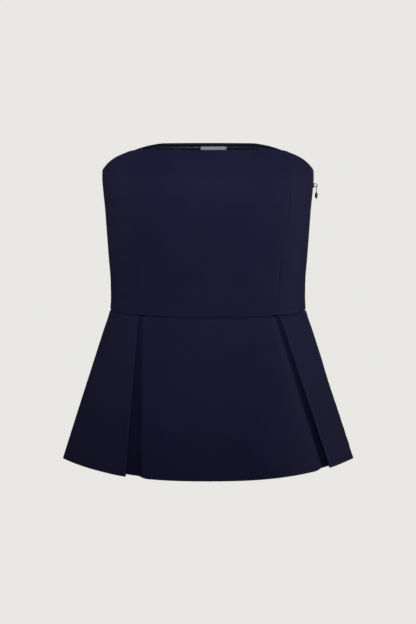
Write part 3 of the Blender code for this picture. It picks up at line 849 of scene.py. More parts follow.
def link(tree, start, start_socket, end, end_socket):
    tree.links.new(start.outputs[start_socket], end.inputs[end_socket])


def add_node(tree, kind, **settings):
    node = tree.nodes.new(kind)
    for title, value in settings.items():
        setattr(node, title, value)
    return node


def outward_kept(tree):
    """Reads the outward direction kept on a guide."""
    node = add_node(tree, "GeometryNodeInputNamedAttribute", data_type="FLOAT_VECTOR")
    node.inputs["Name"].default_value = "outward"
    return node


def turned_round(tree, start, title):
    """A tree's input times minus one."""
    node = add_node(tree, "ShaderNodeMath", operation="MULTIPLY")
    node.inputs[1].default_value = -1.0
    link(tree, start, title, node, 0)
    return node


def grow(guide, tree, **values):
    """Runs a tree on a guide and keeps the result as the guide's own plain mesh."""
    modifier = guide.modifiers.new("grow", "NODES")
    modifier.node_group = tree
    for item in tree.interface.items_tree:
        if item.in_out == "INPUT" and item.name in values:
            modifier[item.identifier] = values[item.name]
    finished(guide)
    print(guide.name, "faces:", len(guide.data.polygons))
    return guide


def joined(name, pieces):
    """Joins several finished meshes into one object."""
    shape = bmesh.new()
    for piece in pieces:
        shape.from_mesh(piece.data)
    mesh = bpy.data.meshes.new(name)
    shape.to_mesh(mesh)
    shape.free()
    for material in pieces[0].data.materials:
        mesh.materials.append(material)
    for piece in pieces:
        bpy.data.objects.remove(piece)
    return mesh_object(name, mesh)


# %% [markdown]
# Stitches and the zip's coil are both rows: one small grain, laid again and again at an even pitch. So
# they share a tree, which takes the pitch and the grain's three sizes from its inputs.


# %% The tree that both rows share
def row_tree(name, inputs, segments, sizes, material):
    """A tree that lays one grain at every pitch of its guide; three inputs give the grain's sizes."""
    tree, start, end = new_tree(name, inputs)
    to_curve = add_node(tree, "GeometryNodeMeshToCurve")
    resample = add_node(tree, "GeometryNodeResampleCurve", mode="LENGTH")
    grain = add_node(tree, "GeometryNodeMeshUVSphere")
    for title, value in (("Segments", segments), ("Rings", 6), ("Radius", 0.5)):
        grain.inputs[title].default_value = value
    size = add_node(tree, "ShaderNodeCombineXYZ")
    lay = add_node(tree, "GeometryNodeInstanceOnPoints")
    real = add_node(tree, "GeometryNodeRealizeInstances")
    finish = add_node(tree, "GeometryNodeSetMaterial")
    link(tree, start, "Guide", to_curve, "Mesh")
    link(tree, to_curve, "Curve", resample, "Curve")
    link(tree, start, "Pitch", resample, "Length")
    for title, axis in zip(sizes, "XYZ"):
        link(tree, start, title, size, axis)
    link(tree, resample, "Curve", lay, "Points")
    link(tree, grain, "Mesh", lay, "Instance")
    link(tree, size, "Vector", lay, "Scale")
    link(tree, lay, "Instances", real, "Geometry")
    link(tree, real, "Geometry", finish, "Geometry")
    link(tree, start, material, finish, "Material")
    link(tree, finish, "Geometry", end, "Geometry")
    return tree, start, lay


# %% [markdown]
# A stitch is a short length of thread that shows between two holes: a grain, longer than it is thick,
# laid along the line. The tree resamples the line at the stitch pitch and lays one grain at each
# point. A few stitches lean a little, with a fixed seed, as on a real machine's row.


# %% The stitch tree
STITCH_LEAN = 0.06


def stitch_tree():
    tree, start, lay = row_tree("stitch row", (
        ("Pitch", "NodeSocketFloat", 2.5 * MM),
        ("Stitch Length", "NodeSocketFloat", 1.8 * MM),
        ("Thread Thickness", "NodeSocketFloat", 0.3 * MM),
        ("Lean", "NodeSocketFloat", STITCH_LEAN),
        ("Seed", "NodeSocketInt", 7),
        ("Thread", "NodeSocketMaterial", None),
    ), 8, ("Stitch Length", "Thread Thickness", "Thread Thickness"), "Thread")
    tangent = add_node(tree, "GeometryNodeInputTangent")
    lean = add_node(tree, "FunctionNodeRandomValue", data_type="FLOAT_VECTOR")
    leaned = add_node(tree, "ShaderNodeVectorMath")
    turn = add_node(tree, "FunctionNodeAlignRotationToVector", axis="X")
    link(tree, start, "Lean", lean, "Max")
    link(tree, turned_round(tree, start, "Lean"), 0, lean, "Min")
    link(tree, start, "Seed", lean, "Seed")
    link(tree, tangent, "Tangent", leaned, 0)
    link(tree, lean, "Value", leaned, 1)
    link(tree, leaned, "Vector", turn, "Vector")
    link(tree, turn, "Rotation", lay, "Rotation")
    return tree


stitch_rows = stitch_tree()

# %% [markdown]
# A concealed zip has a nylon coil: two rows of loops that interlock. From outside it hides behind the
# lips of the seam, and shows only where they part. Each loop is a flattened grain across the seam, and
# its two axes come from the line's direction and the outward direction kept on the guide.


# %% The coil tree
def coil_tree():
    tree, start, lay = row_tree("zip coil", (
        ("Pitch", "NodeSocketFloat", 1.3 * MM),
        ("Loop Width", "NodeSocketFloat", 2.2 * MM),
        ("Loop Height", "NodeSocketFloat", 1.5 * MM),
        ("Wire", "NodeSocketFloat", 0.62 * MM),
        ("Coil", "NodeSocketMaterial", None),
    ), 10, ("Loop Width", "Wire", "Loop Height"), "Coil")
    axes = add_node(tree, "FunctionNodeAxesToRotation", primary_axis="Y", secondary_axis="Z")
    link(tree, add_node(tree, "GeometryNodeInputTangent"), "Tangent", axes, "Primary Axis")
    link(tree, outward_kept(tree), "Attribute", axes, "Secondary Axis")
    link(tree, axes, "Rotation", lay, "Rotation")
    return tree


coil_rows = coil_tree()

# %% [markdown]
# The grip tape is an elastic band inside the back's top edge, with a run of clear silicone that holds
# the top up; it catches the light as a thin curved line. A band along a line is a curve with a
# profile: a rounded flat section for the elastic, and a small round one, set inwards, for the bead.


# %% The tape tree
def tape_tree():
    tree, start, end = new_tree("grip tape", (
        ("Tape Width", "NodeSocketFloat", 6.0 * MM),
        ("Tape Thickness", "NodeSocketFloat", 0.8 * MM),
        ("Bead Radius", "NodeSocketFloat", 0.55 * MM),
        ("Bead Inset", "NodeSocketFloat", 0.35 * MM),
        ("Elastic", "NodeSocketMaterial", None),
        ("Silicone", "NodeSocketMaterial", None),
    ))
    to_curve = add_node(tree, "GeometryNodeMeshToCurve")
    upright = add_node(tree, "GeometryNodeSetCurveNormal", mode="Z_UP")
    section = add_node(tree, "GeometryNodeCurvePrimitiveQuadrilateral")
    rounded = add_node(tree, "GeometryNodeFilletCurve", mode="POLY")
    rounded.inputs["Count"].default_value = 3
    rounded.inputs["Radius"].default_value = 0.3 * MM
    ring = add_node(tree, "GeometryNodeCurvePrimitiveCircle")
    ring.inputs["Resolution"].default_value = 12
    inset = add_node(tree, "ShaderNodeVectorMath", operation="SCALE")
    shift = add_node(tree, "GeometryNodeSetPosition")
    together = add_node(tree, "GeometryNodeJoinGeometry")
    real = add_node(tree, "GeometryNodeRealizeInstances")
    link(tree, start, "Guide", to_curve, "Mesh")
    link(tree, to_curve, "Curve", upright, "Curve")
    link(tree, start, "Tape Thickness", section, "Width")
    link(tree, start, "Tape Width", section, "Height")
    link(tree, section, "Curve", rounded, "Curve")
    link(tree, outward_kept(tree), "Attribute", inset, 0)
    link(tree, turned_round(tree, start, "Bead Inset"), 0, inset, "Scale")
    link(tree, upright, "Curve", shift, "Geometry")
    link(tree, inset, "Vector", shift, "Offset")
    link(tree, start, "Bead Radius", ring, "Radius")
    bead = (shift, "Geometry", ring, "Silicone")
    band = (upright, "Curve", rounded, "Elastic")
    for path, path_socket, profile, material in (bead, band):
        run = add_node(tree, "GeometryNodeCurveToMesh")
        run.inputs["Fill Caps"].default_value = True
        finish = add_node(tree, "GeometryNodeSetMaterial")
        link(tree, path, path_socket, run, "Curve")
        link(tree, profile, "Curve", run, "Profile Curve")
        link(tree, run, "Mesh", finish, "Geometry")
        link(tree, start, material, finish, "Material")
        link(tree, finish, "Geometry", together, "Geometry")
    link(tree, together, "Geometry", real, "Geometry")
    link(tree, real, "Geometry", end, "Geometry")
    return tree


tape_runs = tape_tree()

# %% [markdown]
# The cloth is a technical crepe: a fine pebbled face, matt, with a little sheen that lifts the edges
# where it turns away. The pebble is two crossed noises on the cloth's own UV map, in metres, so it is
# the same size everywhere. Slow noise varies the colour, and the pressed folds are smoother and are
# painted a touch lighter, a painted sheen. The inside of the cloth is painted much darker, as painted
# shade for the garment's dark inside, and is flatter.

# %% Finishes for the cloth
CREPE_COLOUR = (0.0104, 0.0098, 0.0318)
# Painted shade: the inside faces' colour is darkened to stand for the shade inside the garment.
CREPE_INSIDE_SHADE = (0.0030, 0.0031, 0.0080)
CREPE_ROUGH = 0.66
PRESSED_ROUGH = 0.52
PEBBLES_A_METRE = 1150.0
THREADS_A_METRE = 2600.0
THREAD_STRETCH = 0.3
SLOW_A_METRE = 26.0
PEBBLE_SHARE, THREAD_SHARE = 0.65, 0.35
SLOW_TONE = (0.86, 1.12)
GRAIN_TONE = (0.7, 1.3)
# How much lighter the colour is painted near pressed folds: a painted sheen.
PRESSED_SHEEN_TONE = 0.10
SLOW_ROUGH = 0.04
CREPE_BUMP, CREPE_BUMP_DEEP = 0.35, 0.06
SHEEN_ROUGH = 0.4
SHEEN_TINT = (0.75, 0.75, 1.0, 1.0)


def new_finish(name, colour, rough, **values):
    """A material with its plain values set on the shader's own sockets."""
    material = bpy.data.materials.new(name)
    material.use_nodes = True
    shader = material.node_tree.nodes["Principled BSDF"]
    shader.inputs["Base Color"].default_value = (*colour, 1.0)
    shader.inputs["Roughness"].default_value = rough
    for title, value in values.items():
        shader.inputs[title.replace("_", " ")].default_value = value
    return material, material.node_tree, shader


def noise(tree, vector, scale, detail=2.0, roughness=0.5):
    node = add_node(tree, "ShaderNodeTexNoise")
    node.inputs["Scale"].default_value = scale
    node.inputs["Detail"].default_value = detail
    node.inputs["Roughness"].default_value = roughness
    tree.links.new(vector, node.inputs["Vector"])
    return node.outputs["Fac"]


def math_node(tree, operation, first, second):
    node = add_node(tree, "ShaderNodeMath", operation=operation)
    for socket, value in zip(node.inputs, (first, second)):
        if isinstance(value, (int, float)):
            socket.default_value = value
        else:
            tree.links.new(value, socket)
    return node.outputs[0]


def remapped(tree, value, low, high):
    """Brings a 0 to 1 value to a named range."""
    node = add_node(tree, "ShaderNodeMapRange")
    node.inputs["To Min"].default_value = low
    node.inputs["To Max"].default_value = high
    tree.links.new(value, node.inputs["Value"])
    return node.outputs["Result"]


def tinted(tree, colour, tone, shader):
    """The colour times a tone, into the shader's base colour."""
    scale = add_node(tree, "ShaderNodeVectorMath", operation="SCALE")
    scale.inputs[0].default_value = colour
    tree.links.new(tone, scale.inputs["Scale"])
    tree.links.new(scale.outputs["Vector"], shader.inputs["Base Color"])


def bumped(tree, height, strength, deep, shader):
    """A bump so many millimetres deep, into the shader's normal."""
    bump = add_node(tree, "ShaderNodeBump")
    bump.inputs["Strength"].default_value = strength
    bump.inputs["Distance"].default_value = deep * MM
    tree.links.new(height, bump.inputs["Height"])
    tree.links.new(bump.outputs["Normal"], shader.inputs["Normal"])


def crepe_finish(name, colour, rough, pressed_rough, sheen, specular):
    material, tree, shader = new_finish(
        name, colour, rough, Specular_IOR_Level=specular, Sheen_Weight=sheen, Sheen_Roughness=SHEEN_ROUGH,
        Sheen_Tint=SHEEN_TINT,
    )
    cloth_uv = add_node(tree, "ShaderNodeTexCoord").outputs["UV"]
    pressed = add_node(tree, "ShaderNodeAttribute", attribute_name="pressed").outputs["Fac"]
    pebble = noise(tree, cloth_uv, PEBBLES_A_METRE, 3.0, 0.6)
    weft = add_node(tree, "ShaderNodeMapping")
    weft.inputs["Scale"].default_value = (THREADS_A_METRE, THREADS_A_METRE * THREAD_STRETCH, 1.0)
    tree.links.new(cloth_uv, weft.inputs["Vector"])
    threads = noise(tree, weft.outputs["Vector"], 1.0, 1.0)
    slow = noise(tree, cloth_uv, SLOW_A_METRE, 3.0)
    pebbled = math_node(tree, "MULTIPLY", pebble, PEBBLE_SHARE)
    grain = math_node(tree, "ADD", pebbled, math_node(tree, "MULTIPLY", threads, THREAD_SHARE))
    # Near pressed folds the colour is painted lighter: a painted sheen.
    painted_sheen = math_node(tree, "MULTIPLY", pressed, PRESSED_SHEEN_TONE)
    tone = math_node(tree, "ADD", remapped(tree, slow, *SLOW_TONE), painted_sheen)
    tinted(tree, colour, math_node(tree, "MULTIPLY", tone, remapped(tree, grain, *GRAIN_TONE)), shader)
    rough_now = remapped(tree, pressed, rough, pressed_rough)
    rough_now = math_node(tree, "ADD", rough_now, remapped(tree, slow, -SLOW_ROUGH, SLOW_ROUGH))
    tree.links.new(rough_now, shader.inputs["Roughness"])
    bumped(tree, grain, CREPE_BUMP, CREPE_BUMP_DEEP, shader)
    return material


crepe = crepe_finish("navy crepe", CREPE_COLOUR, CREPE_ROUGH, PRESSED_ROUGH, 0.01, 0.025)
# The inside faces: the same crepe with its colour painted much darker, as painted shade.
crepe_inside_shaded = crepe_finish("crepe inside painted shade", CREPE_INSIDE_SHADE, 0.8, 0.8, 0.0, 0.08)

# %% [markdown]
# The other finishes are small: a ribbed elastic and its clear bead, the woven grey label, the zip's
# ribbon and coil, sewing thread, and the dark plated metal of the slider and pull. Each still has its
# own texture at its real scale.


# %% Finishes for the trims
RIB_UNEVEN = 0.6
RIB_BUMP = 0.5
RIB_TONE = (0.82, 1.12)


def trim_finish(name, colour, rough, ribs, rib_deep, band="X", **values):
    """A finish with fine ribs in the piece's own space, as a bump and as a change of tone."""
    material, tree, shader = new_finish(name, colour, rough, **values)
    wave = add_node(tree, "ShaderNodeTexWave", bands_direction=band)
    wave.inputs["Scale"].default_value = ribs
    wave.inputs["Distortion"].default_value = RIB_UNEVEN
    tree.links.new(add_node(tree, "ShaderNodeTexCoord").outputs["Object"], wave.inputs["Vector"])
    bumped(tree, wave.outputs["Fac"], RIB_BUMP, rib_deep, shader)
    tinted(tree, colour, remapped(tree, wave.outputs["Fac"], *RIB_TONE), shader)
    return material


elastic = trim_finish("elastic tape", (0.005, 0.005, 0.011), 0.6, 420.0, 0.12, Specular_IOR_Level=0.1)
silicone = trim_finish("clear silicone", (0.05, 0.05, 0.06), 0.18, 60.0, 0.05, Specular_IOR_Level=0.6)
label_cloth = trim_finish("woven label", (0.46, 0.46, 0.48), 0.62, 760.0, 0.06, "Z", Specular_IOR_Level=0.3)
zip_ribbon = trim_finish("zip ribbon", (0.009, 0.009, 0.020), 0.7, 520.0, 0.1, "Z", Specular_IOR_Level=0.2)
zip_nylon = trim_finish("nylon coil", (0.014, 0.014, 0.030), 0.35, 300.0, 0.05, "Z")
thread = trim_finish("sewing thread", (0.008, 0.008, 0.024), 0.6, 900.0, 0.05, Specular_IOR_Level=0.1)
pale_thread = trim_finish("label thread", (0.12, 0.12, 0.13), 0.6, 900.0, 0.05)
zip_metal = trim_finish("dark zip metal", (0.030, 0.029, 0.033), 0.28, 140.0, 0.02, "Z", Metallic=1.0)


def dress(piece, *materials):
    """Gives a piece its materials in slot order."""
    piece.data.materials.clear()
    for material in materials:
        piece.data.materials.append(material)
    return piece


# Crepe outside; the inside faces get the much darker colour that is painted shade.
for piece in (*bodice.values(), *peplum.values()):
    dress(piece, crepe, crepe_inside_shaded)

# %% [markdown]
# The tape follows the back's own top edge, a few millimetres below it, from one side seam to the
# other. The helper reads a place inside the garment by how far below the edge and how far round it is.

# %% Places inside the top edge, and rows of stitches
INSIDE_FACE = -(2 * FOLD + CLOTH)


def line_at(height, arc, out):
    """Points in millimetres on the form, with the outward direction at each."""
    points = place(height, arc, out)
    return points, place(height, arc, out + 1.0) - points


def inside_line(shares, drop, out):
    """A line inside the back's top edge, so far below it: share 0 and 1 are the side seams."""
    height = top_curves["back"](np.abs(2 * shares - 1)) - drop
    near, far = side_arc(height), 2 * half_arc(height) - side_arc(height)
    arc = near + shares * (far - near)
    return line_at(height, arc, out + creases(BACK_CREASES, height, arc))


def stitched(name, line, pitch, length, colour=thread, lean=STITCH_LEAN):
    """A row of stitches along a line of points and outward directions, in millimetres."""
    values = {"Pitch": pitch * MM, "Stitch Length": length * MM, "Lean": lean, "Thread": colour}
    return grow(guide_line(name, *line), stitch_rows, **values)


# %% The grip tape
TAPE_THICK = 0.8
TAPE_WIDE = 6.0
TAPE_DROP = 3.0
TAPE_CLEAR = 0.06
TAPE_ENDS = (0.04, 0.96)
tape_out = INSIDE_FACE - TAPE_CLEAR - TAPE_THICK / 2
tape_shares = np.linspace(*TAPE_ENDS, 150)
tape_line = inside_line(tape_shares, TAPE_DROP + TAPE_WIDE / 2, tape_out)
tape_sizes = {"Tape Width": TAPE_WIDE * MM, "Tape Thickness": TAPE_THICK * MM}
tape_guide = guide_line("grip_tape", *tape_line)
grip_tape = grow(tape_guide, tape_runs, Elastic=elastic, Silicone=silicone, **tape_sizes)

# %% Stitches along the tape
TAPE_ROW_IN = 0.8
TAPE_ROW_PROUD = 0.05
TAPE_STITCH = (2.6, 2.0)
tape_stitches = []
for number, drop in enumerate((TAPE_DROP + TAPE_ROW_IN, TAPE_DROP + TAPE_WIDE - TAPE_ROW_IN)):
    line = inside_line(tape_shares, drop, tape_out - TAPE_THICK / 2 - TAPE_ROW_PROUD)
    tape_stitches.append(stitched("tape_row_%d" % number, line, *TAPE_STITCH))
tape_thread = joined("tape_stitches", tape_stitches)

# %% [markdown]
# The label is a small strip of satin weave, sewn in by its top edge and left bare, with its lower end
# hanging free and curling very slightly inwards. A short bar of stitches holds it down at each side.

# %% The label
LABEL_X = 8.0
LABEL_WIDE = 36.0
LABEL_TALL = 18.0
LABEL_DROP = 4.8
LABEL_THICK = 0.5
LABEL_CURL = 1.6
LABEL_CLEAR = 0.75
LABEL_RIPPLE = 0.25
RIPPLES = 95.0
NECK_HEIGHT = 215.0


def plain_sheet(name, points, thickness, material):
    """A small cloth piece with nothing turned in at its edges."""
    rows, columns = points.shape[:2]
    piece = cloth_panel(name, points, 0.0, np.zeros(rows, bool), np.zeros(columns, bool), thickness)
    return dress(piece, material, material)


back_line = float(half_arc(NECK_HEIGHT) - side_arc(NECK_HEIGHT)) * 2
label_shares = 0.5 - (LABEL_X + np.linspace(-LABEL_WIDE / 2, LABEL_WIDE / 2, 29)) / back_line
label_shares = np.sort(label_shares)
label_out = tape_out - TAPE_THICK / 2 - LABEL_CLEAR - LABEL_THICK / 2
label_rows = []
for drop in np.linspace(LABEL_DROP + LABEL_TALL, LABEL_DROP, 16):
    down = (drop - LABEL_DROP) / LABEL_TALL
    ripple = LABEL_RIPPLE * down * np.sin(label_shares * RIPPLES)
    label_rows.append(inside_line(label_shares, drop, label_out - LABEL_CURL * down**2 + ripple)[0])
label = plain_sheet("woven_label", np.array(label_rows), LABEL_THICK, label_cloth)

# %% The bars that hold the label
BAR_START, BAR_STOP = 0.8, 7.0
BAR_PROUD = 0.08
BAR_STITCH = (1.5, 1.2)
bar_drops = np.linspace(LABEL_DROP + BAR_START, LABEL_DROP + BAR_STOP, 9)
label_bars = []
for number, share in enumerate((label_shares[1], label_shares[-2])):
    shares = np.full(len(bar_drops), share)
    line = inside_line(shares, bar_drops, label_out - LABEL_THICK / 2 - BAR_PROUD)
    label_bars.append(stitched("label_bar_%d" % number, line, *BAR_STITCH, pale_thread))
label_thread = joined("label_stitches", label_bars)

# %% [markdown]
# Behind the left side seam lie the zip's two ribbons, set back from the lips of the seam, with a coil
# sewn along each inner edge. Below the slider the coils interlock in the middle; above it they lie
# apart. The ribbons are cloth panels like the rest; the coils grow on guides.

# %% The zip's ribbons
ZIP_TOP = 181.0
ZIP_END = -44.0
# Each column: how far from the seam's line, and how far out
RIBBON_COLUMNS = ((12.0, -2.3), (9.5, -2.8), (7.2, -3.6), (5.2, -4.6), (3.6, -5.1), (2.6, -5.2), (1.7, -5.2))
RIBBON_THICK = 0.5
ribbon_heights = np.linspace(ZIP_END, ZIP_TOP, 76)


def ribbon(name, sign):
    across, out = np.array(RIBBON_COLUMNS[::sign]).T
    arc = side_seam("left", ribbon_heights)[:, None] - sign * across
    return plain_sheet(name, place(ribbon_heights[:, None], arc, out), RIBBON_THICK, zip_ribbon)


ribbon_front = ribbon("zip_ribbon_front", 1)
ribbon_back = ribbon("zip_ribbon_back", -1)

# %% The zip's coils
ZIP_SIDES = (("front", -1), ("back", 1))
COIL_PITCH = 1.4
COIL_OUT = -4.1
COIL_CLOSED = 0.55
COIL_APART = 1.9
COIL_ENDS = (2, 1)
SLIDER_TALL = 8.0


def coil_line(sign):
    """One row of loops: together below the slider, apart above it, half a pitch from the other row."""
    height = np.linspace(ZIP_END + COIL_ENDS[0] + (sign > 0) * COIL_PITCH / 2, ZIP_TOP - COIL_ENDS[1], 240)
    opening = ramp((height - SLIDER_HEIGHT + SLIDER_TALL / 2) / SLIDER_TALL)
    apart = COIL_CLOSED + (COIL_APART - COIL_CLOSED) * opening
    return line_at(height, side_seam("left", height) + sign * apart, COIL_OUT)


coils = []
for side, sign in ZIP_SIDES:
    guide = guide_line("coil_%s" % side, *coil_line(sign))
    coils.append(grow(guide, coil_rows, Pitch=COIL_PITCH * MM, Coil=zip_nylon))
zip_coils = joined("zip_coils", coils)

# %% Stitches that hold the ribbons
RIBBON_ROW = 8.4
RIBBON_ROW_OUT = -3.15
RIBBON_ROW_PROUD = 0.1
RIBBON_STITCH = (2.8, 1.8)
row_out = RIBBON_ROW_OUT - RIBBON_THICK / 2 - RIBBON_ROW_PROUD
ribbon_stitches = []
for side, sign in ZIP_SIDES:
    height = np.linspace(ZIP_END + 3, ZIP_TOP - 3, 120)
    line = line_at(height, side_seam("left", height) + sign * RIBBON_ROW, row_out)
    ribbon_stitches.append(stitched("ribbon_row_%s" % side, line, *RIBBON_STITCH))
ribbon_thread = joined("zip_stitches", ribbon_stitches)

# %% [markdown]
# A plain seam is held by a row of lockstitches down in its ditch, where the two folded edges touch.
# From outside it barely shows, but without it light would pass between the panels.

# %% Stitches in the plain seams
SEAM_STITCH = 1.8
SEAM_STITCH_LONG = 1.4 * SEAM_STITCH
SEAM_STITCH_CLEAR = 0.12
SEAM_STITCH_OUT = -EDGE_ROUND - SEAM_STITCH_CLEAR - DIP_DEEP


def seam_row(name, heights, arc):
    """A row of stitches along a seam line, at the depth where its edges touch."""
    return stitched(name, line_at(heights, arc, SEAM_STITCH_OUT), SEAM_STITCH, SEAM_STITCH_LONG)


bodice_heights = np.linspace(1.0, 214.0, 160)
peplum_heights = np.linspace(HEM + 1.0, -2.0, 160)
zip_free_heights = np.linspace(HEM + 1.0, -50.0, 130)
underarm_heights = np.linspace(1.0, UNDERARM - 1.0, 150)
seam_rows = [
    seam_row("row_princess_left", bodice_heights, princess_arc("left", bodice_heights)),
    seam_row("row_princess_right", bodice_heights, -princess_arc("right", bodice_heights)),
    seam_row("row_underarm_right", underarm_heights, -side_arc(underarm_heights)),
    seam_row("row_side_right", peplum_heights, -side_seam("right", peplum_heights)),
    seam_row("row_side_left", zip_free_heights, side_seam("left", zip_free_heights)),
]
seam_thread = joined("seam_stitches", seam_rows)

# %% [markdown]
# The hem is blind-stitched: from outside nothing shows, but inside small slanting stitches catch the
# turned-up edge, nine millimetres apart, all the way round.

# %% Blind stitches along the hem's inside edge
HEM_STITCH_IN = 0.6
HEM_STITCH_CLEAR = 0.08
HEM_STITCH = (9.0, 2.2)
HEM_LEAN = 0.5
HEM_STITCH_HEIGHT = HEM + HEM_ALLOWANCE - HEM_STITCH_IN
HEM_STITCH_DEPTH = -2 * FOLD - CLOTH / 2 - HEM_STITCH_CLEAR
front_now, back_now = whole_path(HEM_STITCH_HEIGHT), back_path(HEM_STITCH_HEIGHT)
hem_stitches = []
for face, path, turned, table in (
    ("front", front_now, front_now[4], PEPLUM_CREASES),
    ("back", back_now, back_columns.turned, BACK_PEPLUM_CREASES),
):
    arc, out = path[0][~turned], path[1][~turned]
    out = out - CLOTH / 2 + creases(table, HEM_STITCH_HEIGHT, arc)
    points, outward = line_at(HEM_STITCH_HEIGHT, arc, out)
    points = lay_behind(points[None], np.full((1, len(arc)), HEM_STITCH_DEPTH))[0]
    hem_stitches.append(stitched("hem_row_%s" % face, (points, outward), *HEM_STITCH, thread, HEM_LEAN))
hem_thread = joined("hem_stitches", hem_stitches)

# %% [markdown]
# The slider is cast: a body behind the seam, a thin neck between its lips, a plate outside, and an arch
# for the pull. Boxes with rounded edges and one bent wire make it, a step finer than the solid.


# %% Metal shapes
STEEP = 0.7
METAL_SHARP = 40


def rounded_block(centre, size, rounding, taper=1.0):
    """A box in millimetres with rounded edges, its lower end narrowed by a taper."""
    shape = bmesh.new()
    bmesh.ops.create_cube(shape, size=1.0)
    for vert in shape.verts:
        if vert.co.z < 0:
            vert.co.y *= taper
    bmesh.ops.scale(shape, vec=size, verts=shape.verts)
    bmesh.ops.bevel(shape, geom=shape.edges[:], offset=rounding, segments=3, profile=0.5, affect="EDGES")
    bmesh.ops.translate(shape, vec=centre, verts=shape.verts)
    return shape


def add_shape(target, shape, where):
    """Adds a bmesh in millimetres to another in metres, moved by a place in millimetres."""
    mesh = bpy.data.meshes.new("part")
    shape.to_mesh(mesh)
    shape.free()
    mesh.transform(Matrix.Scale(MM, 4) @ Matrix.Translation(where))
    target.from_mesh(mesh)
    bpy.data.meshes.remove(mesh)


def metal_piece(name, shapes, where):
    """One metal piece from several shapes in millimetres."""
    whole = bmesh.new()
    for shape in shapes:
        add_shape(whole, shape, where)
    mesh = bpy.data.meshes.new(name)
    whole.to_mesh(mesh)
    whole.free()
    return dress(finished(mesh_object(name, mesh), METAL_SHARP), zip_metal)


def wire_shape(points, radius, cyclic, sides=12):
    """A round wire through points: a ring of vertices at each, turned to the path."""
    shape = bmesh.new()
    count = len(points)
    path = np.array(points, float)
    ahead = np.roll(path, -1, 0) if cyclic else np.vstack([path[1:], path[-1:]])
    behind = np.roll(path, 1, 0) if cyclic else np.vstack([path[:1], path[:-1]])
    rings = []
    for i in range(count):
        along = Vector(ahead[i] - behind[i]).normalized()
        aside = Vector((1.0, 0.0, 0.0)) if abs(along.x) < STEEP else Vector((0.0, 1.0, 0.0))
        first = along.cross(aside).normalized()
        second = along.cross(first)
        ring = []
        for turn in np.linspace(0, 2 * math.pi, sides, endpoint=False):
            around = math.cos(turn) * first + math.sin(turn) * second
            ring.append(shape.verts.new(Vector(path[i]) + radius * around))
        rings.append(ring)
    pairs = list(zip(rings, rings[1:])) + ([(rings[-1], rings[0])] if cyclic else [])
    for lower, upper in pairs:
        for i in range(sides):
            shape.faces.new((lower[i], lower[(i + 1) % sides], upper[(i + 1) % sides], upper[i]))
    if not cyclic:
        shape.faces.new(rings[0])
        shape.faces.new(rings[-1])
    bmesh.ops.recalc_face_normals(shape, faces=shape.faces)
    return shape


def corner_arc(centre, radius, start, end, steps=7):
    angles = np.radians(np.linspace(start, end, steps))
    return [(centre[0] + radius * math.cos(a), centre[1] + radius * math.sin(a)) for a in angles]


# %% The slider
SLIDER_BODY = (2.0, 5.2, SLIDER_TALL)
BODY_ROUND, BODY_TAPER = 0.5, 0.72
SLIDER_CLEAR = 1.6
PLATE = (0.8, 2.4, 7.4)
PLATE_ROUND, PLATE_TAPER = 0.3, 0.7
PLATE_CLEAR = 0.3
NECK_THICK, NECK_TALL, NECK_ROUND = 1.0, 5.6, 0.25
NECK_IN_PLATE, NECK_OVERLAP = 0.3, 0.8
ARCH_REACH, ARCH_HALF, ARCH_CORNER, ARCH_WIRE = 4.0, 2.0, 1.3, 0.9
slider_reach = SLIDER_HEIGHT + SLIDER_TALL / 2 * np.array([-1.0, 0.0, 1.0])
side_faces = outline(slider_reach, side_arc(slider_reach))[:, 0]
slider_place = Vector((float(side_faces.max()), 0.0, SLIDER_HEIGHT - UNDERARM))
body_face = float(side_faces.min() - side_faces.max()) - SLIDER_CLEAR
neck_long = PLATE_CLEAR - body_face + NECK_OVERLAP
neck_middle = PLATE_CLEAR + NECK_IN_PLATE - neck_long / 2
low, high = PLATE_CLEAR + PLATE[0] / 2, PLATE_CLEAR + PLATE[0] + ARCH_REACH
arch = [(low, -ARCH_HALF)]
arch += corner_arc((high - ARCH_CORNER, -ARCH_HALF + ARCH_CORNER), ARCH_CORNER, -90, 0)
arch += corner_arc((high - ARCH_CORNER, ARCH_HALF - ARCH_CORNER), ARCH_CORNER, 0, 90)
arch += [(low, ARCH_HALF)]
slider = metal_piece("zip_slider_metal", (
    rounded_block((body_face - SLIDER_BODY[0] / 2, 0, 0), SLIDER_BODY, BODY_ROUND, BODY_TAPER),
    rounded_block((neck_middle, 0, 0), (neck_long, NECK_THICK, NECK_TALL), NECK_ROUND),
    rounded_block((low, 0, 0), PLATE, PLATE_ROUND, PLATE_TAPER),
    wire_shape([(x, 0, z) for x, z in arch], ARCH_WIRE / 2, False),
), slider_place)
print("slider at, millimetres:", [round(v, 2) for v in slider_place])

# %% [markdown]
# The pull is the one thing that moves. A wire ring hangs in the arch, a thin link runs down from it
# and ends in a slim drop, which is a profile turned round its own line.

# %% The pull
RING_HALF, RING_LONG, RING_CORNER, RING_WIRE = 1.55, 4.0, 0.75, 0.8
LINK_RADIUS, LINK_END = 0.55, 9.2
DROP_RADIUS, PULL_LONG = 2.0, 18.4
RING_CLEAR = 0.3
COLLAR = 1.5 * LINK_RADIUS
hinge_out = PLATE_CLEAR + PLATE[0] + ARCH_REACH - ARCH_WIRE / 2 - RING_CLEAR - RING_WIRE / 2
pull_place = slider_place + Vector((hinge_out, 0, 0))
ring_path = []
for sign, height, start, end in (
    (1, -RING_CORNER, 90, 0),
    (1, RING_CORNER - RING_LONG, 0, -90),
    (-1, RING_CORNER - RING_LONG, 270, 180),
    (-1, -RING_CORNER, 180, 90),
):
    ring_path += corner_arc((sign * (RING_HALF - RING_CORNER), height), RING_CORNER, start, end)


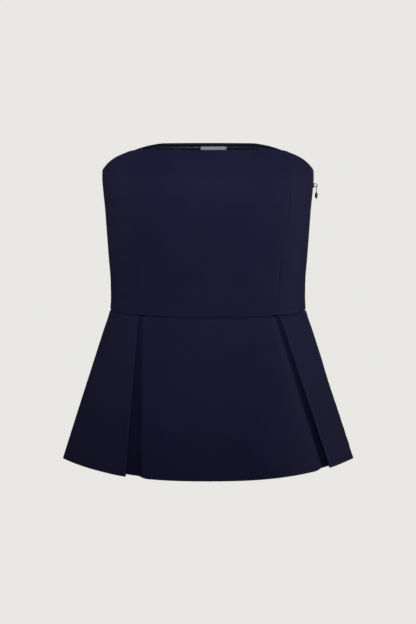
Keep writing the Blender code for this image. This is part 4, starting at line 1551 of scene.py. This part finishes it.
def drop_profile():
    """The link and its drop, from the ring down to the tip: radius and height."""
    profile = [(0.0, -RING_LONG + 0.25), (LINK_RADIUS * 0.8, -RING_LONG + 0.2), (LINK_RADIUS, -RING_LONG)]
    profile += [(LINK_RADIUS, -LINK_END), (COLLAR, -LINK_END - 0.15), (COLLAR, -LINK_END - 0.7)]
    for t in np.linspace(0.1, 0.97, 22):
        swell = math.sin(math.pi * t**0.85) ** 0.75
        radius = LINK_RADIUS * (1 - t) + (DROP_RADIUS - LINK_RADIUS * (1 - t)) * swell
        profile.append((radius, -LINK_END - t * (PULL_LONG - LINK_END)))
    return profile + [(0.0, -PULL_LONG)]


def turned_shape(profile, steps=28):
    """A profile spun round the Z axis, its two ends closed at the axis."""
    shape = bmesh.new()
    verts = [shape.verts.new((radius, 0.0, height)) for radius, height in profile]
    for first, second in zip(verts, verts[1:]):
        shape.edges.new((first, second))
    bmesh.ops.spin(
        shape, geom=[*shape.verts, *shape.edges], cent=(0, 0, 0), axis=(0, 0, 1), angle=2 * math.pi,
        steps=steps, use_merge=True,
    )
    bmesh.ops.remove_doubles(shape, verts=shape.verts, dist=1e-4)
    bmesh.ops.recalc_face_normals(shape, faces=shape.faces)
    return shape


ring = wire_shape([(0, y, z) for y, z in ring_path], RING_WIRE / 2, True)
pull = metal_piece("zip_pull_metal", (ring, turned_shape(drop_profile())), pull_place)
print("pull's faces:", len(pull.data.polygons))

# %% [markdown]
# The studio is plain: a pale floor, far below a top that is worn, and a pale surround of the same tone
# as the photograph's. The floor's light is worked out, not guessed: a level sun that lights the floor
# alone brings it to the surround's tone, so no horizon shows.

# %% Floor and surround
BACKGROUND = (0.812, 0.805, 0.776)
ROOM_LIGHT = 0.04
FLOOR_PAINT = 0.9
FLOOR_DROP = -1.30
FLOOR_REACH = 300.0

world = bpy.data.worlds.new("studio")
bpy.context.scene.world = world
world.use_nodes = True
tree = world.node_tree
tree.nodes.clear()
output = tree.nodes.new("ShaderNodeOutputWorld")
seen, lit = tree.nodes.new("ShaderNodeBackground"), tree.nodes.new("ShaderNodeBackground")
seen.inputs["Color"].default_value = (*BACKGROUND, 1.0)
lit.inputs["Color"].default_value = (1.0, 1.0, 1.0, 1.0)
lit.inputs["Strength"].default_value = ROOM_LIGHT
mix = tree.nodes.new("ShaderNodeMixShader")
tree.links.new(tree.nodes.new("ShaderNodeLightPath").outputs["Is Camera Ray"], mix.inputs["Fac"])
tree.links.new(lit.outputs["Background"], mix.inputs[1])
tree.links.new(seen.outputs["Background"], mix.inputs[2])
tree.links.new(mix.outputs["Shader"], output.inputs["Surface"])

floor_mesh = bpy.data.meshes.new("floor")
corners = [(x * FLOOR_REACH, y * FLOOR_REACH, FLOOR_DROP) for x, y in ((-1, -1), (1, -1), (1, 1), (-1, 1))]
floor_mesh.from_pydata(corners, [], [(0, 1, 2, 3)])
floor = mesh_object("floor", floor_mesh)
floor_colour = [share * FLOOR_PAINT for share in BACKGROUND]
dress(floor, new_finish("floor paint", floor_colour, 1.0, Specular_IOR_Level=0.0)[0])
floor.visible_diffuse = False
floor.visible_glossy = False

# %% Studio lights
FLOOR_SUN = math.pi * (1.0 / FLOOR_PAINT - ROOM_LIGHT)


def only_for(lamp, name, things, state):
    """Links a lamp's light to some things only, or to all but them."""
    group = bpy.data.collections.new(name)
    for thing in things:
        group.objects.link(thing)
    for member in group.collection_objects:
        member.light_linking.link_state = state
    lamp.light_linking.receiver_collection = group


def add_lamp(name, kind, strength, where, towards):
    data = bpy.data.lights.new(name, kind)
    data.energy = strength
    lamp = bpy.data.objects.new(name, data)
    bpy.context.scene.collection.objects.link(lamp)
    lamp.location = where
    lamp.rotation_euler = (Vector(towards) - Vector(where)).to_track_quat("-Z", "Y").to_euler()
    lamp.visible_camera = False
    return lamp


sun = add_lamp("floor sun", "SUN", FLOOR_SUN, (0, 0, 3), (0, 0, 0))
only_for(sun, "lit by the floor sun", [floor], "INCLUDE")

# Each lamp: name, where, towards, size, watts, spread in degrees
LAMPS = (
    ("front softbox", (0.06, -0.76, 0.06), (0.0, 0.0, 0.05), (0.40, 0.16), 2.9, 132),
    ("left side softbox", (-0.8, -0.02, 0.04), (-0.1, 0.0, 0.06), (0.36, 0.36), 1.05, 120),
    ("right side softbox", (0.8, -0.02, 0.04), (0.1, 0.0, 0.06), (0.36, 0.36), 0.7, 120),
    ("right strip", (1.3, 0.15, -0.35), (0.1, 0.0, -0.15), (0.35, 0.8), 6.8, 180),
    ("left strip", (-1.3, 0.15, -0.35), (-0.1, 0.0, -0.15), (0.35, 0.8), 1.6, 180),
    ("back softbox", (0.2, 1.6, 0.3), (0.0, 0.0, -0.1), (1.2, 0.9), 9.0, 180),
)
for name, where, towards, (wide, tall), watts, spread in LAMPS:
    lamp = add_lamp(name, "AREA", watts, where, towards)
    lamp.data.shape = "RECTANGLE"
    lamp.data.size, lamp.data.size_y = wide, tall
    lamp.data.spread = math.radians(spread)
    only_for(lamp, name + " spares the floor", [floor], "EXCLUDE")
bpy.context.scene.view_settings.view_transform = "Standard"
print("lamps:", len(LAMPS), "and a sun for the floor of", round(FLOOR_SUN, 3))

# %% [markdown]
# Last, each piece is set on the body that it rides on: the cloth and the slider on the top, the pull on
# its own body. The part of the model that a piece stands for is hidden.

# %% What each piece stands for
STANDS_FOR = (
    (bodice["front_centre_panel"], "bodice_front_centre", "crepe"),
    (bodice["side_panel_left"], "bodice_front_side_left", "crepe"),
    (bodice["side_panel_right"], "bodice_front_side_right", "crepe"),
    (bodice["back_panel"], "bodice_back", "crepe"),
    (peplum["peplum_front_cloth"], "peplum_front", "crepe"),
    (peplum["peplum_back_cloth"], "peplum_back", "crepe"),
    (grip_tape, "grip_tape_back", "grip_tape"),
    (label, "neck_label", "label"),
    (ribbon_front, "zip_tape", "zip_cloth"),
    (ribbon_back, "zip_tape", "zip_cloth"),
    (slider, "zip_slider", "zip_metal"),
    (pull, "zip_pull", "zip_metal"),
)
for piece, node, slot in STANDS_FOR:
    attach(piece, "pull" if node == "zip_pull" else "top")
    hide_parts(node)
SEWN_ON = (
    (tape_thread, "grip_tape"),
    (label_thread, "label"),
    (zip_coils, "zip_cloth"),
    (ribbon_thread, "zip_cloth"),
    (hem_thread, "crepe"),
    (seam_thread, "crepe"),
)
for piece, slot in SEWN_ON:
    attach(piece, "top")
